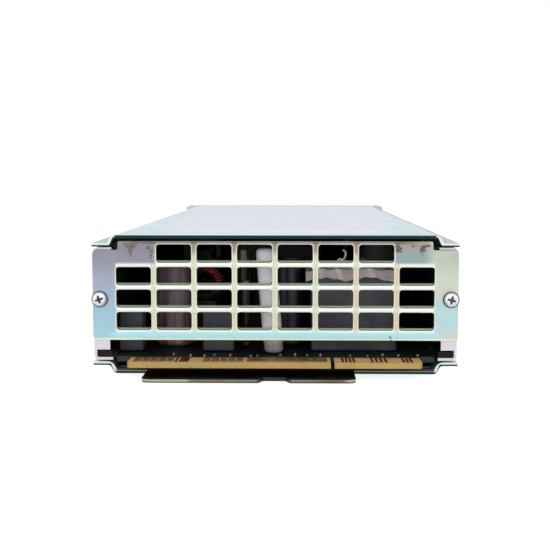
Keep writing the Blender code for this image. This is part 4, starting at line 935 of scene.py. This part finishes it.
def paint_finger(name, plain, worn):
    paint = Paint(name, metallic=0.6)
    y = paint.axes()[1]
    wear = paint.noise(600.0, 4.0, 0.6, (1.0, 0.2, 1.0))
    rub = (y - tab_y).steps(1.0, 3.4)
    paint.set(base_color=paint.mix(wear.steps(0.35, 0.7) * rub, worn, plain))
    paint.set(roughness=wear.steps(0.2, 0.8, 0.28, 0.5))
    return paint


brown_copper = paint_finger("worn_copper", tone(118, 88, 60), tone(170, 134, 88))
dark_copper = paint_finger("dark_copper", tone(86, 26, 26), tone(120, 52, 40))
piece("contact_fingers", fingers, [brown_copper, dark_copper])

# %% [markdown]
# Small parts by the card edge
#
# A row of chip parts and solder ends stands on the board just behind the panel; in the picture
# they are small light and dark specks under the panel's lower edge. Each chip is a tiny block
# with bright end caps.

# %% Shape and paint the small parts
KEY_X = 16.4
SLAB_FOOT_X = -2.0
CHIPS = 17
CHIP_HALF = 0.27
CAP_HALF = 0.29
dice = np.random.default_rng(7)
chips = Shape()
chip_places = np.linspace(-30.0, 40.0, CHIPS) + dice.uniform(-1.4, 1.4, CHIPS)
for number, centre in enumerate(chip_places):
    if abs(centre - KEY_X) < 2.4 or abs(centre - SLAB_FOOT_X) < 3.0:
        continue
    start = front_y + 1.6 + dice.uniform(0.0, 2.4)
    long, tall = dice.uniform(0.6, 1.0), dice.uniform(0.35, 0.6)
    low = (centre - CHIP_HALF, start, board_top_mm - SUNK)
    high = (centre + CHIP_HALF, start + long, board_top_mm + tall)
    chips.grid(soft_block(low, high, 0.08, 0.05, 2), wrap_columns=True, coat=1 + number % 2)
    for end in (start - 0.12, start + long - 0.1):
        low_cap = (centre - CAP_HALF, end, board_top_mm - SUNK)
        high_cap = (centre + CAP_HALF, end + 0.24, board_top_mm + tall + 0.03)
        chips.grid(soft_block(low_cap, high_cap, 0.06, 0.05, 2), wrap_columns=True, coat=0)


def plain_paint(name, dark, light, rough=(0.4, 0.6), scale=500.0, bump=0.2, **fixed):
    """A finish that drifts between two tones, with a matching drift of gloss and relief."""
    paint = Paint(name, **fixed)
    drift = paint.noise(scale, 4.0, 0.6)
    grain = paint.noise(scale * 6, 3.0, 0.6)
    paint.set(base_color=paint.mix(drift.steps(0.3, 0.7), dark, light))
    paint.set(roughness=grain.steps(0.25, 0.75, rough[0], rough[1]))
    return paint.bump(drift * 0.5 + grain, bump, 0.00005)


tin = plain_paint("tinned_end", tone(120, 120, 124), tone(170, 170, 174), (0.3, 0.45), metallic=0.8)
chip_tan = plain_paint("chip_tan", tone(124, 96, 70), tone(146, 118, 88))
chip_black = plain_paint("chip_black", tone(22, 22, 24), tone(34, 34, 36))
piece("board_chips", chips, [tin, chip_tan, chip_black])

# %% [markdown]
# Upright capacitors
#
# An electrolytic capacitor is an aluminium can in a shrunk plastic sleeve: the sleeve wraps a
# little over both ends, the can is crimped near its foot, and the top is a bare disc scored
# with a vent. Its profile is turned about an upright line. The sleeve has fine vertical stretch
# marks that break up its reflection.

# %% Shape and paint the capacitors
CRIMP = 0.55
SLIM_RADIUS = 2.0
BARE_DISC = tone(120, 118, 118)


def can_profile(radius, low, high, groove):
    """Radius and height up the can: rolled foot, crimp, straight side, rolled lip, sunk top."""
    return [
        (0.0, low), (radius - 1.1, low), (radius - 0.9, low + 0.35), (radius - 0.45, low + 0.4),
        (radius - 0.12, low + 0.55), (radius, low + 0.9), (radius, low + 1.9),
        (radius - 0.12, low + 2.2), (radius - groove, low + 2.6), (radius - groove, low + 2.9),
        (radius - 0.12, low + 3.3), (radius, low + 3.6), (radius, low + 8.0), (radius, high - 0.9),
        (radius - 0.1, high - 0.5), (radius - 0.35, high - 0.18), (radius - 0.75, high),
        (radius - 1.15, high - 0.12), (radius - 1.25, high - 0.4), (0.6, high - 0.42), (0.0, high - 0.42),
    ]


def pin_can_profile(radius, low, high):
    """The same for a slim part, which has one crimp and a domed top."""
    return [
        (0.0, low), (radius * 0.8, low), (radius, low + 0.3), (radius, low + 1.4),
        (radius * 0.84, low + 1.7), (radius, low + 2.0), (radius, high - 0.4),
        (radius * 0.85, high - 0.1), (radius * 0.6, high), (0.0, high - 0.05),
    ]


def make_can(name, node, paint):
    """A can that fills its solid's box; the last four rings are marked as its top."""
    low, high = box_mm(node)
    radius = (high[0] - low[0]) / 2
    if radius < SLIM_RADIUS:
        profile = pin_can_profile(radius, low[2], high[2])
    else:
        profile = can_profile(radius, low[2], high[2], min(CRIMP, radius * 0.2))
    marks = np.zeros((len(profile), 1))
    marks[-4:] = 1.0
    shape = Shape()
    shape.grid(lathe(profile, (low[:2] + high[:2]) / 2), wrap_columns=True, mark=marks)
    piece(name, shape, [paint], [node], sharp=60.0)


def paint_sleeve(name, deep, lit):
    paint = Paint(name, specular_ior_level=0.5, coat_roughness=0.25)
    pull = paint.noise(260.0, 4.0, 0.6, (1.0, 1.0, 0.05))
    fine = paint.noise(1800.0, 3.0, 0.6)
    top = paint.node("ShaderNodeAttribute", {"attribute_name": "mark"}, output=2)
    sleeve = paint.mix(pull.steps(0.35, 0.7), deep, lit)
    colour = paint.mix(top.steps(0.5, 0.9), sleeve, BARE_DISC)
    paint.set(base_color=colour, coat_weight=pull.steps(0.3, 0.7, 0.15, 0.4))
    paint.set(roughness=fine.steps(0.2, 0.8, 0.34, 0.5), metallic=top.steps(0.5, 0.9, 0.0, 0.7))
    return paint.bump(pull, 0.25, 0.00006)


maroon = paint_sleeve("maroon_sleeve", tone(78, 60, 66), tone(140, 118, 125))
navy = paint_sleeve("navy_sleeve", tone(10, 10, 24), tone(24, 24, 66))
make_can("brown_can", "brown_capacitor", maroon)
make_can("navy_can", "navy_capacitor", navy)


def paint_pin_can(name, cap_bottom):
    """A bare tin cap above a black sleeve, whose upper edge is at cap_bottom."""
    paint = Paint(name)
    z = paint.axes()[2]
    drift = paint.noise(600.0, 3.0, 0.6, (1.0, 1.0, 0.2))
    cap = z.steps(cap_bottom - 0.1, cap_bottom + 0.1)
    tin_tint = paint.mix(drift.steps(0.3, 0.7), tone(112, 94, 88), tone(166, 146, 138))
    paint.set(base_color=paint.mix(cap, tone(20, 19, 20), tin_tint), metallic=cap * 0.6)
    paint.set(roughness=drift.steps(0.2, 0.8, 0.26, 0.42))
    return paint.bump(drift, 0.2, 0.00005)


make_can("short_pin_can", "small_capacitor_1", paint_pin_can("short_can_tin", 22.8))
make_can("tall_pin_can", "small_capacitor_2", paint_pin_can("tall_can_tin", 30.6))
bulk = paint_sleeve("bulk_sleeve", tone(12, 12, 14), tone(24, 24, 28))
make_can("bulk_can_front", "bulk_capacitor_1", bulk)
make_can("bulk_can_rear", "bulk_capacitor_2", bulk)

# %% [markdown]
# The pale slab
#
# The slab near the middle is a film capacitor dipped in pale resin: every edge is round, the
# faces swell a little, and the whole part leans, so that it slants behind the openings. It is a
# rounded block whose points are shifted sideways in step with their height.

# %% Shape and paint the slab
SLAB_TRIM = 3.66
SLAB_SHIFT = 0.55
SLAB_LEAN = 2.592


def paint_slab():
    """Pale resin, darker at its foot, where little light gets between the parts."""
    paint = Paint("pale_resin_dip", coat_weight=0.25, coat_roughness=0.2)
    z = paint.axes()[2]
    drift = paint.noise(180.0, 4.0, 0.6)
    grain = paint.noise(1080.0, 3.0, 0.6)
    cloud = paint.noise(180.0, 3.0, 0.5)
    body = paint.mix(cloud.steps(0.3, 0.7), tone(234, 234, 238), tone(250, 250, 253))
    foot = (z * -1.0).steps(-10.4, -7.2)
    paint.set(base_color=paint.mix(foot * 0.8, body, tone(112, 112, 116)))
    paint.set(roughness=grain.steps(0.25, 0.75, 0.3, 0.46))
    return paint.bump(drift * 0.5 + grain, 0.3, 0.00005)


def make_slab():
    low, high = box_mm("film_capacitor")
    half = (high[0] - low[0] - SLAB_TRIM) / 2
    centre = (high[0] + low[0]) / 2 + SLAB_SHIFT
    block_low = (centre - half, low[1], low[2])
    block_high = (centre + half, high[1], high[2])
    points = soft_block(block_low, block_high, 2.2, 1.5, 7)
    middle = points.shape[0] // 2
    stretch = np.linspace(0.0, 1.0, 24)[:, None, None]
    side = points[middle - 1] * (1 - stretch) + points[middle] * stretch
    points = np.concatenate([points[:middle], side[1:-1], points[middle:]])
    x, y, z = points[..., 0], points[..., 1], points[..., 2]
    share = (z - low[2]) / (high[2] - low[2])
    swell = 1.0 + 0.02 * np.sin(share * 9.0) - 0.03 * np.cos(share * np.pi * 2)
    x = centre + (x - centre) * swell * 0.97 - (share - 0.5) * SLAB_LEAN
    shape = Shape().grid(np.stack([x, y, z], axis=-1), wrap_columns=True)
    piece("slab", shape, [paint_slab()], ["film_capacitor"], sharp=60.0)


make_slab()

# %% [markdown]
# The output choke under its tape
#
# The large charcoal block is a potted choke. Its moulded case has soft edges and a dull, faintly
# mottled face, painted lighter towards its top as painted light. A wide strip of adhesive film is
# folded over its top: it is crumpled, so it shows bright ridges with dark valleys, and at the right
# it stands up in a fold. The valleys and the standing fold are also painted darker, as painted
# shade. The strip is one grid from the front hem over the top to the back hem, raised by creases.
# A crease is the distance to a line, and summed creases in many directions look like crushed film.

# %% Shape and paint the choke and its tape
FILM_SHEET = 0.16
CREASES = 26


def make_choke():
    low, high = box_mm("output_choke")
    shape = Shape().grid(soft_block(low, high, 0.9, 0.6, 5), wrap_columns=True)
    paint = Paint("potted_choke", specular_ior_level=0.4)
    z = paint.axes()[2]
    cloud = paint.noise(120.0, 4.0, 0.6)
    grit = paint.noise(2200.0, 3.0, 0.6)
    colour = paint.mix(cloud.steps(0.3, 0.7), tone(58, 58, 66), tone(84, 84, 94))
    # Painted light: the case is lighter towards its top.
    colour = paint.mix(z.steps(high[2] - 9.0, high[2] - 1.0) * 0.5, colour, tone(92, 92, 102))
    paint.set(base_color=colour, roughness=grit.steps(0.25, 0.75, 0.42, 0.6))
    paint.bump(grit, 0.25, 0.00005)
    piece("choke_case", shape, [paint], ["output_choke"])


def creases(across, along, seed):
    """A sum of folded waves: each is the distance from the nearest of a set of slanted lines."""
    dice = np.random.default_rng(seed)
    total = np.zeros_like(across)
    for _ in range(CREASES):
        turned = dice.uniform(0.0, np.pi)
        pitch = dice.uniform(1.6, 7.5)
        phase = dice.uniform(0.0, 1.0)
        place = (across * np.cos(turned) + along * np.sin(turned)) / pitch + phase
        total += np.abs((place % 1.0) - 0.5) * pitch * dice.uniform(-0.09, 0.09)
    return total


def bell(x, y, centre_x, centre_y, reach_x, reach_y):
    """One at its centre, falling off smoothly all round."""
    return np.exp(-(((x - centre_x) / reach_x) ** 2) - (((y - centre_y) / reach_y) ** 2))


def tape_points(low, high):
    """The strip over a block: a grid of points, and how far up each lies in its crease."""
    front, back = low[1] - 0.38, high[1] + 0.38
    left, right = low[0] - 1.6, high[0] - 0.6
    hem, top = high[2] - 1.2, high[2] + 1.9
    lengths = np.array([0.0, top - hem, top - hem + back - front, 2 * (top - hem) + back - front])
    along = np.linspace(0.0, lengths[-1], 130)
    y = np.interp(along, lengths, [front, front, back, back])
    z = np.interp(along, lengths, [hem, top, top, hem])
    x = left + (right - left) * np.linspace(0.0, 1.0, 150)
    x, y = np.meshgrid(x, y)
    z = np.broadcast_to(z[:, None], x.shape)
    along = np.broadcast_to(along[:, None], x.shape)
    crush = creases(x, along, 11)
    off_hems = np.clip((along - 1.0) / 3.0, 0.0, 1.0)
    off_hems = off_hems * np.clip((lengths[-1] - along - 1.0) / 3.0, 0.0, 1.0)
    depth = y - front
    peak = 3.2 * bell(x, depth, left + 17.5, 4.0, 4.8, 3.2)
    ridge = 1.5 * bell(x, depth, left + 8.0, 2.4, 4.0, 2.4)
    z = z + (0.25 + crush * 1.3) * off_hems + peak + ridge
    y = y - np.clip(1.0 - depth / 0.8, 0.0, 1.0) * np.abs(crush) * 0.5
    hem_wave = 0.45 * np.sin(x * 0.42 + 2.2) + 0.14 * np.sin(x * 1.7 + 1.0)
    z = z + np.clip(1.0 - along / 1.6, 0.0, 1.0) * hem_wave
    z = np.where(depth > 0.5, np.maximum(z, high[2] + 0.35), z)
    return np.stack([x, y, z], axis=-1), crush


def paint_tape(block_top):
    """Clear film, pale on the crease ridges, with painted shade in the valleys and where it stands up
    above the block.
    """
    paint = Paint("crumpled_tape", specular_ior_level=0.6, coat_roughness=0.15)
    fold = paint.node("ShaderNodeAttribute", {"attribute_name": "mark"}, output=2)
    z = paint.axes()[2]
    fine = paint.noise(420.0, 5.0, 0.7)
    lit = paint.mix(fine.steps(0.3, 0.7), tone(228, 212, 210), tone(252, 240, 236))
    # Painted shade: the low parts of the creases are darker than the ridges.
    colour = paint.mix(fold.steps(0.1, 0.5), tone(200, 188, 190), lit)
    # Painted shade: the film that stands up above the block is near black.
    stood = z.steps(block_top + 2.3, block_top + 3.4)
    colour = paint.mix(stood * 0.85, colour, tone(58, 54, 56))
    paint.set(base_color=colour, roughness=fine.steps(0.2, 0.8, 0.22, 0.45), coat_weight=0.4)
    return paint.bump(fine, 0.5, 0.0002)


def make_tape():
    low, high = box_mm("output_choke")
    points, crush = tape_points(low, high)
    shape = Shape().grid(points, mark=0.5 + crush)
    made = piece("tape_strip", shape, [paint_tape(high[2])], ["choke_tape"], sharp=24.0)
    film = made.modifiers.new("film", "SOLIDIFY")
    film.thickness = FILM_SHEET * MM
    film.offset = 0.0


make_choke()
make_tape()

# %% [markdown]
# The pale hooked wire
#
# A short end of pale sleeved wire stands above the choke in a hook. It is stiff and under a
# centimetre long, soldered at its root, so it is a fixed piece: a tube on a smooth curve.

# %% Shape and paint the hooked wire
HOOK_RADIUS = 0.29
HOOK_ROOT = np.array([0.7, 0.0, 3.4])


def make_hook():
    points = [
        (18.5, front_y + 12.0, 31.9), (19.1, front_y + 11.6, 32.3), (19.7, front_y + 11.3, 32.0),
        (20.2, front_y + 11.1, 32.4), (20.6, front_y + 11.0, 33.2), (20.7, front_y + 11.0, 34.0),
        (20.4, front_y + 11.0, 34.7), (19.9, front_y + 11.1, 35.0),
    ]
    path = smooth_path(points, 60)
    root = np.linspace(path[0] - HOOK_ROOT, path[0], 10)[:-1]
    path = np.concatenate([root, path])
    shape = Shape().grid(tube(path, HOOK_RADIUS, 10), wrap_columns=True)
    paint = plain_paint("pale_wire", tone(236, 230, 224), tone(250, 246, 240), (0.3, 0.45), 900.0, 0.2)
    piece("hooked_wire", shape, [paint], sharp=60.0)


make_hook()

# %% [markdown]
# The wound ring
#
# A small ferrite ring stands on edge, wound once round with red enamelled wire. The winding is a
# single closed curve that goes round the ring's section 31 times while it goes round the ring
# once, and a thin tube follows it. The spaces between turns show the dark core. The red dashes
# behind the openings are painted light on the upper right of the winding, and the rest of the
# wire is painted shade of very dark red.

# %% Shape and paint the wound ring
TURNS = 31
WIRE_RADIUS = 0.27
RING_HALF = 2.6
CORE_RADIUS = RING_HALF - WIRE_RADIUS * 1.6
CRADLE_HALF = 4.2


def torus_point(around, section, ring_radius, section_radius, centre):
    """A point on a ring whose axis points at the panel."""
    reach = ring_radius + section_radius * np.cos(section)
    x = centre[0] + reach * np.cos(around)
    z = centre[2] + reach * np.sin(around)
    y = centre[1] + section_radius * np.sin(section)
    return np.stack([x, y, z], axis=-1)


def make_core(low, high, outer, centre):
    """The ring under its winding, and the cradle that holds it on the board."""
    around = np.linspace(0.0, 2 * np.pi, 96, endpoint=False)
    section = np.linspace(0.0, 2 * np.pi, 20, endpoint=False)
    around, section = np.meshgrid(around, section, indexing="ij")
    ring = torus_point(around, section, outer - RING_HALF, CORE_RADIUS, centre)
    core = Shape().grid(ring, True, True)
    block_low = (centre[0] - CRADLE_HALF, centre[1] - 2.5, low[2])
    block_high = (centre[0] + CRADLE_HALF, centre[1] + 2.5, high[2] - 2 * outer + 1.6)
    core.grid(soft_block(block_low, block_high, 0.8, 0.4, 4), wrap_columns=True)
    dark = plain_paint("ring_core", tone(26, 24, 26), tone(38, 34, 36), (0.5, 0.7))
    piece("ring_core", core, [dark], ["resonant_choke"])


def winding_points(outer, centre):
    """Small circles about each point of the closed curve, square to its direction."""
    around = np.linspace(0.0, 2 * np.pi, TURNS * 18, endpoint=False)
    section = around * TURNS
    path = torus_point(around, section, outer - RING_HALF, CORE_RADIUS + WIRE_RADIUS, centre)
    along = np.roll(path, -1, axis=0) - np.roll(path, 1, axis=0)
    along /= np.linalg.norm(along, axis=1, keepdims=True)
    out = path - torus_point(around, section, outer - RING_HALF, 0.0, centre)
    out /= np.linalg.norm(out, axis=1, keepdims=True)
    side = np.cross(along, out)
    angle = np.linspace(0.0, 2 * np.pi, 8, endpoint=False)[None, :, None]
    spoke = np.cos(angle) * out[:, None] + np.sin(angle) * side[:, None]
    return path[:, None] + WIRE_RADIUS * spoke


def paint_enamel(centre):
    """Painted light: red where the upper right of the ring faces the openings; painted shade of very dark
    red elsewhere.
    """
    paint = Paint("red_enamel", specular_ior_level=0.5, coat_roughness=0.12)
    x, y, z = paint.axes()
    drift = paint.noise(700.0, 3.0, 0.6)
    off_x = x - centre[0]
    off_z = z - centre[2]
    reach = off_x * off_x + off_z * off_z
    crest = reach.steps(13.0, 18.0) * reach.steps(40.0, 32.0)
    facing = (y * -1.0).steps(-centre[1] + 0.8, -centre[1] + 1.8)
    # Painted light: red where the winding faces the openings on the upper right; painted shade of dark red
    # elsewhere.
    lit = (off_x + off_z).steps(3.4, 5.4) * crest * facing
    red = paint.mix(drift.steps(0.3, 0.7), tone(206, 40, 36), tone(236, 70, 58))
    paint.set(base_color=paint.mix(lit, tone(54, 12, 12), red), coat_weight=lit * 0.5)
    paint.set(roughness=drift.steps(0.2, 0.8, 0.22, 0.36))
    return paint.bump(drift, 0.1, 0.00004)


def make_ring():
    low, high = box_mm("resonant_choke")
    outer = (high[0] - low[0]) / 2
    centre = np.array([(low[0] + high[0]) / 2, (low[1] + high[1]) / 2, high[2] - outer])
    make_core(low, high, outer, centre)
    winding = Shape().grid(winding_points(outer, centre), True, True)
    piece("ring_winding", winding, [paint_enamel(centre)])


make_ring()

# %% [markdown]
# The two low blocks
#
# Two moulded inductors stand low down on the board, left of the slab. Each is a soft-edged block
# of dark grey resin. The mould leaves a faint step a third of the way up, which is where its two
# halves met.

# %% Shape and paint the low blocks
STEP_HEIGHTS = np.array([0.30, 0.31, 0.33, 0.34])[:, None, None]
STEP_WIDTHS = np.array([1.0, 0.99, 0.99, 1.0])[:, None, None]
grey_resin = plain_paint("grey_resin", tone(54, 60, 64), tone(72, 76, 84), (0.42, 0.6), 200.0, 0.25)


def make_low_block(name, node):
    low, high = box_mm(node)
    points = soft_block(low, high, 0.7, 0.45, 5)
    middle = points.shape[0] // 2
    belt = points[middle - 1] + (points[middle] - points[middle - 1]) * STEP_HEIGHTS
    centre = (low[:2] + high[:2]) / 2
    belt[..., :2] = centre + (belt[..., :2] - centre) * STEP_WIDTHS
    points = np.concatenate([points[:middle], belt, points[middle:]])
    piece(name, Shape().grid(points, wrap_columns=True), [grey_resin], [node])


make_low_block("side_block", "side_inductor")
make_low_block("wide_block", "filter_inductor")

# %% [markdown]
# Everything farther in
#
# Behind the first row the picture is black: the transformer, coils, heat sinks and devices get
# little light through the grille. They keep their CAD solids and get deep, slightly glossy
# finishes, so that they read as ferrite, taped copper, anodised aluminium and moulded epoxy when
# the case is looked into from another side. The coils' tape is painted darker than real tape, as
# painted shade, and the grooves between the input choke's turns are painted dark as shade.

# %% Dress the inner solids
TAPE_LAP = 2.4
CHOKE_PITCH = 1.25
TRACK_PITCH = 5.2


def numbered(name):
    """The names of four solids that come in a row: name_1, name_2 and so on."""
    return [f"{name}_{number}" for number in range(1, 5)]


ferrite = plain_paint("dark_ferrite", tone(24, 24, 26), tone(36, 36, 38), (0.5, 0.68), 900.0, 0.3)
dress(ferrite, "transformer_core", "boost_inductor_core")


def paint_coil():
    paint = Paint("taped_coil", specular_ior_level=0.5)
    x, _, z = paint.axes()
    lap = (z * (FULL_TURN / TAPE_LAP) + x * 0.3).cosine()
    film = paint.noise(300.0, 4.0, 0.6)
    # Painted shade: the amber tape is painted darker than real tape.
    colour = paint.mix(film.steps(0.3, 0.7), tone(58, 44, 16), tone(78, 60, 22))
    colour = paint.mix(lap.steps(0.86, 0.98) * 0.6, colour, tone(34, 26, 12))
    paint.set(base_color=colour, roughness=film.steps(0.2, 0.8, 0.3, 0.5))
    return paint.bump(film + lap * 0.3, 0.3, 0.0001)


dress(paint_coil(), "transformer_coil", "boost_inductor_coil")


def even_paint(name, noise, dark, light, rough, relief, **fixed):
    """A finish whose tint, gloss and relief all follow one noise."""
    paint = Paint(name, **fixed)
    drift = paint.noise(*noise)
    paint.set(base_color=paint.mix(drift.steps(0.3, 0.7), tone(*dark), tone(*light)))
    paint.set(roughness=drift.steps(0.2, 0.8, *rough))
    return paint.bump(drift, *relief)


drawn = (900.0, 4.0, 0.7, (1.0, 0.03, 1.0))
relief = (0.3, 0.00006)
sinks = even_paint("black_anodised", drawn, (9, 9, 10), (22, 22, 24), (0.4, 0.6), relief, metallic=0.35)
dress(sinks, "heat_sink_left", "heat_sink_right")
epoxy = plain_paint("moulded_epoxy", tone(20, 20, 22), tone(32, 32, 34), (0.45, 0.6), 1200.0, 0.25)
dress(epoxy, "power_device_1", "power_device_2", "bridge_rectifier")


def paint_input_choke():
    paint = Paint("input_winding", specular_ior_level=0.5, coat_weight=0.4, coat_roughness=0.15)
    x = paint.axes()[0]
    turn = (x * (FULL_TURN / CHOKE_PITCH)).cosine()
    film = paint.noise(500.0, 3.0, 0.6)
    lit = paint.mix(film.steps(0.3, 0.7), tone(112, 50, 22), tone(146, 70, 30))
    # Painted shade: the grooves between the turns are dark.
    paint.set(base_color=paint.mix(turn.steps(-0.4, 0.5), tone(50, 22, 12), lit))
    paint.set(roughness=film.steps(0.2, 0.8, 0.24, 0.4))
    return paint.bump(turn * 0.5 + film * 0.2, 0.7, 0.0003)


dress(paint_input_choke(), "input_choke")


def paint_card(name, deep, lit):
    """A small board: solder mask with faint tracks and scattered pale pads."""
    paint = Paint(name, specular_ior_level=0.5)
    _, y, z = paint.axes()
    cloth = paint.noise(700.0, 3.0, 0.6)
    colour = paint.mix(cloth.steps(0.3, 0.7), tone(*deep), tone(*lit))
    track = (y * (FULL_TURN / TRACK_PITCH) + z * 0.7).cosine().steps(0.90, 0.97)
    colour = paint.mix(track * 0.4, colour, tone(40, 84, 60))
    grid = {"Vector": paint.place((0.0, 420.0, 420.0)), "Scale": 1.0}
    cells = paint.node("ShaderNodeTexVoronoi", None, grid)
    colour = paint.mix(cells.steps(0.20, 0.14) * 0.8, colour, tone(176, 176, 168))
    paint.set(base_color=colour, roughness=cloth.steps(0.2, 0.8, 0.34, 0.5))
    return paint.bump(cloth + track * 0.4, 0.15, 0.00005)


dress(paint_card("control_card", (18, 44, 34), (28, 58, 44)), "control_board")
dress(paint_card("indicator_card", (20, 48, 36), (30, 62, 46)), "indicator_board")
film_paint = plain_paint("grey_film", tone(34, 34, 36), tone(48, 48, 50), (0.35, 0.55), 150.0, 0.2)
dress(film_paint, "insulation_film")
nickel = (tone(170, 168, 160), tone(200, 198, 190))
dress(plain_paint("nickel_post", *nickel, (0.25, 0.4), metallic=0.9), *numbered("standoff"))
tones = ((176, 180, 184), (222, 224, 228))
relief = (0.15, 0.00004)
small_screws = even_paint("zinc_screws", (500.0, 3.0, 0.6), *tones, (0.24, 0.42), relief, metallic=0.75)
dress(small_screws, *numbered("board_screw"), *numbered("cover_screw"))
dress(small_screws, "hinge_pin_left", "hinge_pin_right")
print("inner solids dressed")

# %% [markdown]
# Guides, faceplate, handle and fans
#
# The far end isn't in the picture, but it is part of the object. The faceplate is moulded in pale
# grey plastic with a spark-eroded texture, the handle is powder coated in dark grey, the fans
# are black plastic and the latch is blue, so that it stands out from the faceplate. A moulded
# texture is a fine noise in the relief. Rubbed places are a little smoother and lighter, as
# where fingers pull the handle.

# %% Dress the guides and the front end
black = (tone(9, 9, 11), tone(17, 17, 19))
guide_paint = plain_paint("guide_plastic", *black, (0.5, 0.66), 700.0, 0.2, specular_ior_level=0.2)
dress(guide_paint, "board_guide_left", "board_guide_right")


def moulded(name, deep, lit, grain=2600.0, rough=(0.46, 0.62)):
    paint = Paint(name, specular_ior_level=0.45)
    erosion = paint.noise(grain, 3.0, 0.6)
    cloud = paint.noise(60.0, 3.0, 0.6)
    paint.set(base_color=paint.mix(cloud.steps(0.3, 0.7), tone(*deep), tone(*lit)))
    paint.set(roughness=cloud.steps(0.3, 0.7, *rough))
    return paint.bump(erosion, 0.35, 0.00006)


dress(moulded("faceplate_grey", (206, 208, 216), (218, 220, 228)), "front_bezel")
frame_black = moulded("fan_frame_black", (20, 20, 22), (30, 30, 32))
dress(frame_black, "fan_frame_left", "fan_frame_right", "latch_keeper")
rotor_black = moulded("fan_rotor_black", (26, 26, 29), (38, 38, 42), 1600.0, (0.3, 0.44))
dress(rotor_black, "fan_rotor_left", "fan_rotor_right")


def paint_handle():
    paint = Paint("coated_handle", specular_ior_level=0.5)
    z = paint.axes()[2]
    orange_peel = paint.noise(1500.0, 3.0, 0.6)
    rubbed = z.steps(24.0, 30.0) * paint.noise(90.0, 4.0, 0.6).steps(0.4, 0.65)
    colour = paint.mix(orange_peel.steps(0.3, 0.7), tone(40, 42, 46), tone(52, 54, 58))
    paint.set(base_color=paint.mix(rubbed * 0.5, colour, tone(80, 82, 86)))
    paint.set(roughness=rubbed.steps(0.0, 1.0, 0.5, 0.32))
    return paint.bump(orange_peel, 0.3, 0.00008)


dress(paint_handle(), "handle")
latch_paint = plain_paint("latch_blue", tone(34, 62, 108), tone(44, 76, 128), (0.36, 0.5), 900.0, 0.2)
dress(latch_paint, "latch_slider")
tones = ((226, 234, 230), (246, 250, 248))
clear = {"ior": 1.49, "transmission_weight": 0.85, "specular_ior_level": 0.5}
pipes = even_paint("light_pipe", (400.0, 3.0, 0.6), *tones, (0.06, 0.16), (0.1, 0.00005), **clear)
dress(pipes, "light_pipe_1", "light_pipe_2", "light_pipe_3")
print("front end dressed")

# %% [markdown]
# The stage
#
# The module lies on a flat pale floor in front of a white sky. The camera sees both as white,
# because the white is in their own materials and isn't more light on the object.
# The lamps are large and soft, so the plating shows broad, gentle reflections.

# %% Build the floor, the sky and the lamps
FLOOR_GLOW = 0.84
FLOOR_TONE = (0.30, 0.30, 0.30)
FLOOR_HALF = 1.6
FLOOR_GAP = 0.2
SKY_ON_OBJECT = 0.85


def seen_straight(paint):
    """One where the camera, a reflection or a clear piece looks straight at the surface."""
    path = paint.node("ShaderNodeLightPath")
    outputs = path.socket.node.outputs
    kinds = ("Is Camera Ray", "Is Glossy Ray", "Is Transmission Ray")
    seen = [Wire(paint, outputs[kind]) for kind in kinds]
    return seen[0].most(seen[1]).most(seen[2])


def make_floor():
    half = FLOOR_HALF
    corners = [(-half, -half, 0.0), (half, -half, 0.0), (half, half, 0.0), (-half, half, 0.0)]
    mesh = bpy.data.meshes.new("floor")
    mesh.from_pydata(corners, [], [(0, 1, 2, 3)])
    floor = bpy.data.objects.new("floor", mesh)
    bpy.context.scene.collection.objects.link(floor)
    floor.location.z = cad_low.z - FLOOR_GAP * MM
    paint = Paint("floor_white", base_color=FLOOR_TONE, roughness=0.9, specular_ior_level=0.1)
    glow = paint.mix(seen_straight(paint), (0.0, 0.0, 0.0), (1.0, 1.0, 1.0))
    paint.set(emission_color=glow, emission_strength=FLOOR_GLOW)
    mesh.materials.append(paint.material)


def make_sky():
    world = bpy.data.worlds.new("studio")
    world.use_nodes = True
    bpy.context.scene.world = world
    tree = world.node_tree
    tree.nodes.clear()
    path = tree.nodes.new("ShaderNodeLightPath")
    seen = path.outputs["Is Camera Ray"]
    for kind in ("Is Glossy Ray", "Is Transmission Ray"):
        either = tree.nodes.new("ShaderNodeMath")
        either.operation = "MAXIMUM"
        tree.links.new(seen, either.inputs[0])
        tree.links.new(path.outputs[kind], either.inputs[1])
        seen = either.outputs[0]
    strength = tree.nodes.new("ShaderNodeMix")
    strength.inputs[2].default_value = SKY_ON_OBJECT
    strength.inputs[3].default_value = 1.0
    tree.links.new(seen, strength.inputs[0])
    sky = tree.nodes.new("ShaderNodeBackground")
    sky.inputs[0].default_value = (1.0, 1.0, 1.0, 1.0)
    tree.links.new(strength.outputs[0], sky.inputs[1])
    output = tree.nodes.new("ShaderNodeOutputWorld")
    tree.links.new(sky.outputs[0], output.inputs["Surface"])


def make_lamp(name, place, target, size, power):
    """A square soft lamp that faces its target."""
    data = bpy.data.lights.new(name, "AREA")
    data.shape = "SQUARE"
    data.size = size
    data.energy = power
    lamp = bpy.data.objects.new(name, data)
    bpy.context.scene.collection.objects.link(lamp)
    lamp.location = place
    lamp.rotation_euler = (Vector(target) - Vector(place)).to_track_quat("-Z", "Y").to_euler()


make_floor()
make_sky()
middle = (0.0, PANEL_Y, 20 * MM)
make_lamp("lamp_above", (0.0, PANEL_Y + 0.05, 0.75), (0.0, PANEL_Y + 0.1, 0.0), 1.2, 0.4)
make_lamp("lamp_left", (-0.45, PANEL_Y - 0.55, 0.35), middle, 1.6, 3.2)
make_lamp("lamp_right", (0.50, PANEL_Y - 0.50, 0.30), middle, 1.6, 2.8)
bpy.context.scene.view_settings.view_transform = "Standard"
print("stage ready, sky on the object", SKY_ON_OBJECT)
